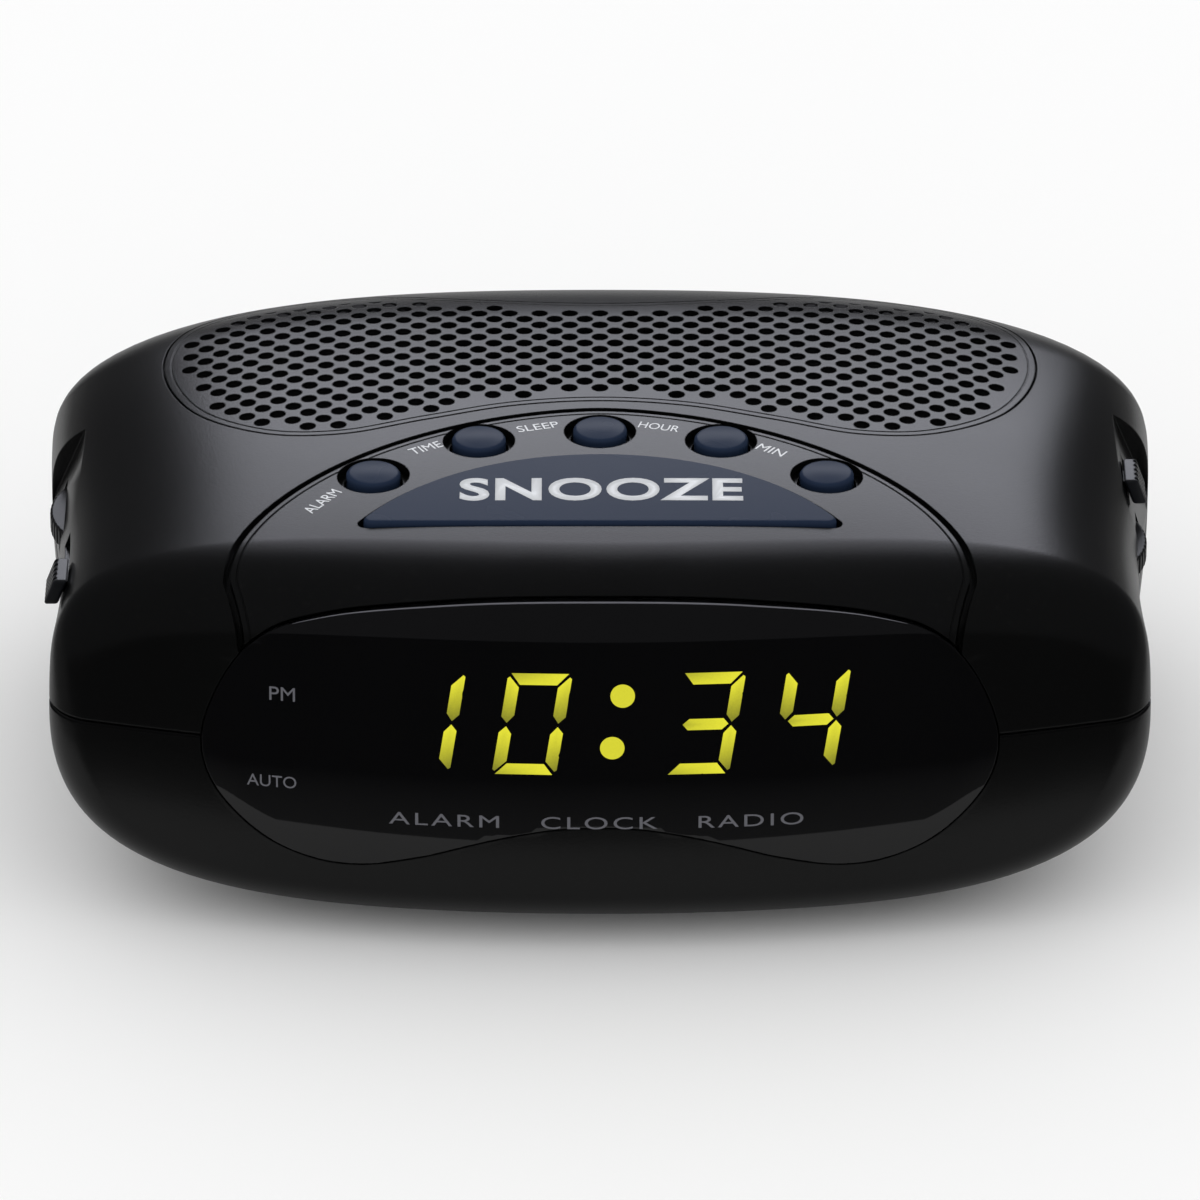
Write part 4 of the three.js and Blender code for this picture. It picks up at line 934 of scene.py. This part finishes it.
def make_painted_edge_bead():
    """A painted highlight along the window's upper edge: a fine lighter grey bead, standing in for the light that
    edge catches, that runs out at both ends.
    """
    outline = np.array(mirrored(LENS_OUTLINE, -0.3))
    top = outline[(np.abs(outline[:, 0]) < EDGE_HALF) & (outline[:, 1] > GIRTH)]
    top = top[np.argsort(top[:, 0])]
    centres = brow_points(top[:, 0], top[:, 1])
    normals = outward(centres)
    along = np.gradient(centres, axis=0)
    across = np.cross(along, normals)
    across /= np.linalg.norm(across, axis=1)[:, None]
    rings = []
    for centre, normal, side in zip(centres, normals, across):
        radius = EDGE_RADIUS * math.cos(math.pi / 2 * centre[0] / EDGE_HALF) ** 0.4
        rings.append([centre + radius * (math.cos(a) * normal + math.sin(a) * side) for a in turns(8)])
    made = loft("painted_edge_highlight", rings, [centres[0], centres[-1]])
    # the bead stands in for the lens but wears the lighter grey of the painted highlight
    finish(made, "lens_black", follow=False, look="painted_edge_highlight")


# ---- keys


STEM_CLEAR = 0.05  # left between a pressed key's stem and its switch
STEM_RADIUS = 1.6
FLANGE_LOW, FLANGE_HIGH, SKIRT_LOW = 57.6, 58.9, 58.5
CAP_FLANGE_LOW, CAP_FLANGE_HIGH, CAP_DOME = 5.2, 4.4, 0.95  # how far under a round key's top


def make_snooze():
    """The bar: a rounded top that follows the roof, a flange under the case and its stem."""
    outline = np.array(snooze_outline(0.0))
    after, before = np.roll(outline, -1, 0), np.roll(outline, 1, 0)
    along = (after - before) / np.linalg.norm(after - before, axis=1)[:, None]
    inwards = np.stack([-along[:, 1], along[:, 0]], 1)
    centre = np.array([0.0, SNOOZE_BACK - SNOOZE_DEPTH * 0.6])
    if ((centre - outline) * inwards).sum() < 0:
        inwards = -inwards
    low = node_box("snooze_bar")[0]
    edge = 0.9

    def ring(inset, drop_by, share=1.0):
        flat = centre + (outline + inwards * inset - centre) * share
        heights = top_z(flat[:, 0], flat[:, 1]) + SNOOZE_RISE - drop_by
        return np.column_stack([flat, heights])

    def level(z):
        return np.column_stack([outline, np.full(len(outline), z)])

    rings = [level(SKIRT_LOW)]
    for i in range(7):
        angle = math.pi / 2 * i / 6
        rings.append(ring(edge * (1 - math.cos(angle)), edge * (1 - math.sin(angle))))
    rings += [ring(edge, 0.0, share) for share in (0.97, 0.9, 0.75, 0.5, 0.25, 0.05)]
    peak = top_z(centre[:1], centre[1:])[0] + SNOOZE_RISE
    made = loft("snooze_key", rings, [(centre[0], centre[1], SKIRT_LOW), (centre[0], centre[1], peak)])
    flange = prism("flange", snooze_outline(1.2), "Z", FLANGE_LOW, FLANGE_HIGH)
    stem = rod("stem", STEM_RADIUS, low.z + STEM_CLEAR, 59, 0, SNOOZE_BACK - SNOOZE_DEPTH / 2)
    join(made, flange, stem)
    finish(made, "key_blue", "snooze", ["snooze_bar"])


def make_buttons():
    for name, (x, y) in BUTTONS.items():
        foot = node_box(name)[0].z + STEM_CLEAR
        top = float(top_z(np.array(x), np.array(y))) + BUTTON_RISE
        shape = [
            (0, foot), (STEM_RADIUS, foot), (STEM_RADIUS, top - CAP_FLANGE_LOW),
            (BUTTON_RADIUS + 1, top - CAP_FLANGE_LOW), (BUTTON_RADIUS + 1, top - CAP_FLANGE_HIGH),
            (BUTTON_RADIUS, top - CAP_FLANGE_HIGH), (BUTTON_RADIUS, top - CAP_DOME),
        ]
        for i in range(1, 8):
            angle = math.pi / 2 * i / 7
            fall = CAP_DOME - 0.7 * math.sin(angle)
            shape.append((BUTTON_RADIUS - 0.7 * (1 - math.cos(angle)), top - fall))
        shape += [(2.2, top - 0.06), (0, top)]
        made = turned(name.replace("button", "cap"), shape, 72, (x, y, 0))
        finish(made, "key_blue", name.replace("_button", "_key"), [name], follow=False)


# ---- side controls

SLIDER_HALF, GROOVE_PITCH, GROOVE_HALF = 2.2, 1.5, 0.35
NOTCH_COUNT, NOTCH_RADIUS = 72, 0.38


def make_side(side):
    """One side's thumb wheel with its notched rim, and its slider with its grooved cap."""
    at = SIDES[side]
    low, high = node_box(at["wheel"])
    middle, radius = (low + high) / 2, (high.y - low.y) / 2
    flat = [(0, low.z), (radius, low.z), (radius, high.z), (0, high.z)]
    wheel = turned(at["wheel"].replace("wheel", "dial"), rounded(flat, 0.5), 144, (middle.x, middle.y, 0))
    rim = [
        (middle.x + radius * math.cos(a), middle.y + radius * math.sin(a), low.z - 1)
        for a in turns(NOTCH_COUNT)
    ]
    cut(wheel, cutters("notches", rim, NOTCH_RADIUS, NOTCH_RADIUS, high.z - low.z + 2, 10))
    cut(wheel, rod("bore", 3.3, 0, FAR, middle.x, middle.y))
    finish(wheel, "control_dark", at["bodies"][0], [at["wheel"]], follow=False)

    def wall(z):
        reach = max(side_x(at["y"] + share * at["travel"], z) for share in (0, 0.5, 1))
        return min(face_x(z), reach) + GAP

    z_low, z_high = at["z"] - SLIDER_HALF, at["z"] + SLIDER_HALF
    x_low, x_high = wall(z_low), wall(z_high)

    def slab(name, inner, outer, y0, y1, margin=0.0):
        """A block across the slider's place, that leans as the case does."""
        z0, z1 = z_low - margin, z_high + margin
        lean = (x_low - x_high) / (2 * SLIDER_HALF)
        x0, x1 = x_low + lean * margin, x_high - lean * margin
        outline = [(x0 + inner, z0), (x0 + outer, z0), (x1 + outer, z1), (x1 + inner, z1)]
        return prism(name, [(side * x, z) for x, z in outline], "Y", y0, y1)

    cap = slab(at["knob"].replace("knob", "slider"), 0, 2.3, at["y"] - 4, at["y"] + 4)
    soften = cap.modifiers.new("soft", "BEVEL")
    soften.width = 0.55 * MM
    soften.segments = 4
    bake(cap)
    grooves = [at["y"] + GROOVE_PITCH * k for k in (-2, -1, 0, 1, 2)]
    cut(cap, *[slab("groove", 1.8, 4, y - GROOVE_HALF, y + GROOVE_HALF, 1) for y in grooves])
    low, high = node_box(at["knob"])
    inner = low.x if side > 0 else -high.x
    outer = (x_low + x_high) / 2 + GAP
    join(cap, side_box("neck", side, inner, outer, at["y"] - 1.8, at["y"] + 1.8, at["z"] - 1, at["z"] + 1))
    finish(cap, "knob_grey", at["bodies"][1], [at["knob"]], follow=False)


# ---- underside and back


def make_underside():
    for i, (x, y) in enumerate(FEET):
        high = node_box(f"foot_{i + 1}")[1].z
        profile = [(0, 0), (5.4, 0), (6, 0.6), (6, high), (0, high)]
        made = turned(f"pad_{i + 1}", rounded(profile, 0.3), 64, (x, y, 0))
        rings = cut(rod("ring", 3.8, -1, 0.25, x, y), rod("core", 3.2, -2, 1, x, y))
        cut(made, rings)
        finish(made, "rubber_black", "case", [f"foot_{i + 1}"], follow=False)
    for i, (x, y) in enumerate(BOSSES):
        low, high = node_box(f"case_screw_{i + 1}")
        profile = [(0, low.z), (2.2, low.z), (3, low.z + 1), (3, low.z + 2), (1.5, low.z + 2),
                   (1.5, high.z - 2), (0, high.z)]
        made = turned(f"screw_{i + 1}", rounded(profile, 0.4), 48, (x, y, 0))
        cross = ((1.6, 0.3), (0.3, 1.6))
        cut(made, *[box("slot", x - a, x + a, y - b, y + b, low.z - 1, low.z + 1.2) for a, b in cross])
        finish(made, "screw_steel", "case", [f"case_screw_{i + 1}"], follow=False)
    make_door()
    low, high = node_box("cable_gland")
    place = ((low.x + high.x) / 2, 0, (low.z + high.z) / 2)
    profile = [(0, low.y + 0.5), (2.2, low.y + 0.5), (2.2, low.y), (3.4, low.y), (4.2, low.y + 1.5),
               (4.2, high.y - 1.6), (6, high.y - 1.6), (6, high.y - 0.7), (5, high.y), (2.2, high.y),
               (0, high.y)]
    gland = turned("cord_gland", rounded(profile, 0.3), 64, place, (0, 1, 0))
    cut(gland, turned("bore", [(0, 0), (2.2, 0), (2.2, FAR), (0, FAR)], 48, place, (0, 1, 0)))
    finish(gland, "rubber_black", "case", ["cable_gland"], follow=False)


def make_door():
    low, high = node_box("battery_door")
    hinge_y = next(j for j in frame["joints"] if j["name"] == "battery_door_hinge")["pos_m"][1] / MM
    made = skin("battery_cover", box("blank", low.x, high.x, low.y, hinge_y, -FAR, GIRTH), 1.6)
    barrel = turned("barrel", [(0, 0), (1.2, 0), (1.2, high.x - low.x - 4), (0, high.x - low.x - 4)], 32,
                    (low.x + 2, hinge_y, 3.4), (1, 0, 0))
    join(made, barrel)
    middle = (low.x + high.x) / 2
    grips = [(middle - 9 + i, middle + 9 - i, low.y + 3 + 1.6 * i, low.y + 3.7 + 1.6 * i) for i in range(5)]
    cut(made, *[box("grip", *grip, 0, STAND + 0.5) for grip in grips])
    finish(made, "case_black", "door", ["battery_door"])


# ---- display and legends


def lens_y(x, z):
    """The front face's place under the display, just proud of the lens."""
    return front_y(x, z) - 0.03


DIGIT_WIDTH, DIGIT_LOW, DIGIT_HIGH = 10.2, 33.0, 49.0
STROKE, UPRIGHT_STROKE, SPACE, SLANT = 1.75, 2.0, 0.28, 0.17
DIGIT_PLACES = (("1", -21.2), ("0", -4.3), ("3", 23.2), ("4", 39.9))
DOT_PLACES, DOT_WIDE, DOT_TALL, DOT_SIDES = ((3.6, 45.6), (1.95, 37.4)), 1.95, 1.8, 40
SEGMENTS = {"1": "bc", "0": "abcdef", "3": "abcdg", "4": "bcfg"}


def digit_shapes(digit, right):
    """The lit segments of a digit, as outlines with a glow from 0 to 1 at each point. right is the
    place of its upper right corner."""
    left, width, t, s = right - DIGIT_WIDTH, UPRIGHT_STROKE, STROKE, SPACE
    middle = (DIGIT_HIGH + DIGIT_LOW) / 2
    upright = {
        "b": (right, middle, DIGIT_HIGH, -1), "c": (right, DIGIT_LOW, middle, -1),
        "f": (left, middle, DIGIT_HIGH, 1), "e": (left, DIGIT_LOW, middle, 1),
    }
    flat = {"a": DIGIT_HIGH, "g": middle, "d": DIGIT_LOW}
    made = []
    for name in SEGMENTS[digit]:
        if name in upright:
            x, z0, z1, inwards = upright[name]
            outer, inner = x, x + inwards * width
            corner, tip = outer + inwards * 0.35, x + inwards * width * 0.5
            if z1 == DIGIT_HIGH:
                points = [(outer, z1 - s - 0.5), (corner, z1 - s - 0.25), (inner, z1 - s - 1.9)]
            else:
                points = [(outer, z1 - s - 1.0), (tip, z1 - s), (inner, z1 - s - 1.2)]
            if z0 == DIGIT_LOW:
                points += [(inner, z0 + s + 1.9), (corner, z0 + s + 0.25), (outer, z0 + s + 0.5)]
            else:
                points += [(inner, z0 + s + 1.2), (tip, z0 + s), (outer, z0 + s + 1.0)]
            glow = [np.clip((z - z0 - 0.12 * (z1 - z0)) / (0.45 * (z1 - z0)), 0, 1) for _, z in points]
        else:
            z = flat[name]
            if name == "g":
                x0, x1, up, down = left + 1.2 + s, right - 1.2 - s, z + t / 2, z - t / 2
                points = [(x0, z), (x0 + 0.9, up), (x1 - 0.9, up), (x1, z), (x1 - 0.9, down),
                          (x0 + 0.9, down)]
            else:
                far = z - t if name == "a" else z + t
                points = [(left + 0.5, z), (right - 0.6, z), (right - 0.45 - t, far), (left + 0.35 + t, far)]
            x0, x1 = min(p[0] for p in points), max(p[0] for p in points)
            glow = [np.clip(0.35 + (x - x0) / (0.35 * (x1 - x0)), 0, 1) for x, _ in points]
        made.append(([(x + SLANT * (z - DIGIT_HIGH), z) for x, z in points], glow))
    return made


def make_display():
    """Lit segments laid in the surface of the window, finely divided so that their glow fades evenly."""
    shapes = []
    for digit, right in DIGIT_PLACES:
        shapes += digit_shapes(digit, right)
    for x, z in DOT_PLACES:
        dot = [(x + DOT_WIDE * math.cos(a), z + DOT_TALL * math.sin(a)) for a in turns(DOT_SIDES)]
        shapes.append((dot, [0.8] * DOT_SIDES))
    points, faces, glows = [], [], []
    for outline, glow in shapes:
        centre, middle = np.mean(outline, 0), float(np.mean(glow))
        start, count, rings = len(points), len(outline), 4
        for r in range(rings, 0, -1):
            for (x, z), g in zip(outline, glow):
                a, b = centre + (np.array([x, z]) - centre) * r / rings
                points.append((a, float(lens_y(a, b)), b))
                glows.append(middle + (g - middle) * r / rings)
        points.append((centre[0], float(lens_y(*centre)), centre[1]))
        glows.append(middle)
        for r in range(rings - 1):
            for i in range(count):
                j = (i + 1) % count
                a, b = start + r * count, start + (r + 1) * count
                faces.append((a + i, a + j, b + j, b + i))
        last = start + (rings - 1) * count
        faces += [(last + i, last + (i + 1) % count, len(points) - 1) for i in range(count)]
    made = mesh_object("time_digits", points, faces)
    made.data.attributes.new("glow", "FLOAT", "POINT").data.foreach_set("value", glows)
    thicken(made, Vector((0, -1, 0)))
    finish(made, "led_glow", shade=False)


def thicken(obj, side, depth=0.06):
    """Gives a sheet a small thickness, inwards, after turning its faces to one side."""
    mesh = obj.data
    total = Vector((0, 0, 0))
    for face in mesh.polygons:
        total += face.normal * face.area
    if total.dot(side) < 0:
        mesh.flip_normals()
    modifier = obj.modifiers.new("solid", "SOLIDIFY")
    modifier.thickness = depth * MM
    modifier.offset = -1
    return bake(obj)


def legend(name, words, place, angle, width, height, slot, body="case", upright=False, bold=0.0,
           rise=0.03, apart=1.0):
    """Printed letters, fitted to a width and height, laid on the case's top or on its window."""
    curve = bpy.data.curves.new(name, "FONT")
    curve.body = words
    curve.offset = bold
    curve.space_character = apart
    curve.resolution_u = 6
    text = add_object(name, curve)
    bpy.context.view_layer.update()
    graph = bpy.context.evaluated_depsgraph_get()
    mesh = bpy.data.meshes.new_from_object(text.evaluated_get(graph))
    bpy.data.objects.remove(text)
    made = add_object(name, mesh)
    flat = column(mesh.vertices, "co", 3)[:, :2]
    low, high = flat.min(0), flat.max(0)
    flat = (flat - (low + high) / 2) / (high - low) * (width, height)
    c, s = math.cos(math.radians(angle)), math.sin(math.radians(angle))
    a = place[0] + c * flat[:, 0] - s * flat[:, 1]
    b = place[1] + s * flat[:, 0] + c * flat[:, 1]
    if upright:
        laid = np.stack([a, lens_y(a, b), b], 1)
    else:
        laid = np.stack([a, b, top_z(a, b) + rise], 1)
    mesh.vertices.foreach_set("co", (laid * MM).ravel())
    mesh.update()
    thicken(made, Vector((0, -1, 0)) if upright else Vector((0, 0, 1)))
    return finish(made, slot, body, shade=False)


def make_legends():
    legend("word_snooze", "SNOOZE", (0.2, -23.1), 0, 45.5, 7.3, "legend_white", "snooze", bold=0.03,
           rise=SNOOZE_RISE + 0.03, apart=1.08)
    for words, place, angle, width in (
        ("ALARM", (-44.6, -24.2), 54, 8.0),
        ("TIME", (-28.2, -7.4), 30, 5.6),
        ("SLEEP", (-10.1, -0.3), 16, 6.9),
        ("HOUR", (9.6, -0.3), -15, 6.7),
        ("MIN", (27.7, -8.2), -33, 5.0),
    ):
        legend("word_" + words.lower(), words, place, angle, width, 2.1, "legend_white")
    legend("word_pm", "PM", (-50.5, 43.9), 0, 4.1, 2.1, "legend_grey", upright=True)
    legend("word_auto", "AUTO", (-52.3, 29.6), 0, 7.9, 2.0, "legend_grey", upright=True)
    legend("words_below", "ALARM   CLOCK   RADIO", (-0.6, 24.6), 0, 66.0, 2.2, "legend_grey", upright=True,
           apart=1.2)


# ---- carried-over CAD pieces


def paint_rest():
    for part in frame["record"]["subparts"]:
        materials = frame["nodes"][part["node"]].data.materials
        materials.clear()
        materials.append(LOOK[part["material_slot"]])


# ---- studio


def card(name, colour, rows):
    """A card seen only in reflections. Its rows run from its low edge up, each with a strength, its
    least and greatest x, y and z, and its light fades evenly from row to row."""
    corners = [(x, y, z) for _, x0, x1, y, z in rows for x in (x0, x1)]
    faces = [(2 * i, 2 * i + 1, 2 * i + 3, 2 * i + 2) for i in range(len(rows) - 1)]
    made = mesh_object(name, corners, faces)
    levels = [strength for strength, *_ in rows for _ in range(2)]
    made.data.attributes.new("strength", "FLOAT", "POINT").data.foreach_set("value", levels)
    look, tree = new_material(name)[:2]
    tree.nodes.clear()
    level = node(tree, "ShaderNodeAttribute", attribute_name="strength").outputs["Fac"]
    shade = node(tree, "ShaderNodeEmission", {"Color": (*colour, 1), "Strength": level})
    node(tree, "ShaderNodeOutputMaterial", {"Surface": shade.outputs[0]})
    made.data.materials.append(look)
    for kind in ("camera", "shadow", "diffuse", "transmission"):
        setattr(made, "visible_" + kind, False)


FLOOR = 9000  # half the floor's size
CAMERA_PLACE, CAMERA_DOWN = (0, -1.6224, 0.9269), 29
CAMERA_LENS, CAMERA_SENSOR, CAMERA_SHIFT = 339.75, 36, 0.0137
FLOOR_SEEN, FLOOR_REFLECTED = (0.93, 0.93, 0.93, 1), (0.5, 0.5, 0.5, 1)
SKY_LIT, SKY_REFLECTED, SKY_STRENGTH = (1, 1, 1, 1), (0.085, 0.085, 0.09, 1), 1.06
SKY_TINT = (0.95, 0.97, 1.07)


def make_studio():
    """The camera, the floor, the light all round and the cards that the surfaces reflect."""
    scene = bpy.context.scene
    camera = add_object("camera", bpy.data.cameras.new("camera"))
    camera.location = CAMERA_PLACE
    camera.rotation_euler = (math.radians(90 - CAMERA_DOWN), 0, 0)
    camera.data.lens = CAMERA_LENS
    camera.data.sensor_width = CAMERA_SENSOR
    camera.data.shift_y = CAMERA_SHIFT
    camera.data.clip_start, camera.data.clip_end = 0.1, 50
    scene.camera = camera
    scene.view_settings.view_transform = "Standard"

    corners = [(-FLOOR, -FLOOR, 0), (FLOOR, -FLOOR, 0), (FLOOR, FLOOR, 0), (-FLOOR, FLOOR, 0)]
    floor = mesh_object("floor", corners, [(0, 1, 2, 3)])
    pale, tree, shader = new_material("floor")
    glossy = node(tree, "ShaderNodeLightPath").outputs["Is Glossy Ray"]
    fill(tree, shader, {
        "Base Color": mixed(tree, glossy, FLOOR_SEEN, FLOOR_REFLECTED),
        "Roughness": 0.9, "Specular IOR Level": 0.1,
    })
    seen = node(tree, "ShaderNodeMixShader", {
        0: node(tree, "ShaderNodeNewGeometry").outputs["Backfacing"],
        1: shader.outputs[0], 2: node(tree, "ShaderNodeBsdfTransparent").outputs[0],
    })
    fill(tree, tree.nodes["Material Output"], {"Surface": seen.outputs[0]})
    floor.data.materials.append(pale)

    world = bpy.data.worlds.new("world")
    scene.world = world
    world.use_nodes = True
    tree = world.node_tree
    tree.nodes.clear()
    glossy = node(tree, "ShaderNodeLightPath").outputs["Is Glossy Ray"]
    tone = mixed(tree, glossy, SKY_LIT, SKY_REFLECTED)
    back = node(tree, "ShaderNodeBackground", {"Color": tone, "Strength": SKY_STRENGTH})
    node(tree, "ShaderNodeOutputWorld", {"Surface": back.outputs[0]})

    card("flag", (1, 1, 1), [
        (0.1, -2500, 2500, -92, 1), (0, -2500, 2500, -135, 16), (0, -2500, 2500, -2000, 800),
    ])
    card("sky", SKY_TINT, [
        (0.2, -330, 540, 1500, 400), (1.2, -330, 540, 1500, 520), (3.0, -330, 540, 1500, 650),
        (4.6, -330, 540, 1480, 830), (3.2, -330, 540, 1450, 940), (1.2, -330, 540, 1420, 1020),
        (1.2, -330, 540, 1200, 1400), (0.0, -330, 540, 1100, 1560),
    ])
    for side in (-1, 1):
        near, far = sorted((side * 150, side * 2500))
        card("side_card", (1, 1, 1), [(0.16, near, far, -120, 1), (0.22, near, far, 2500, 300)])


make_shells()
make_grille()
make_panel()
make_lens()
make_snooze()
make_buttons()
make_side(1)
make_side(-1)
make_underside()
make_display()
make_legends()
paint_rest()
make_studio()
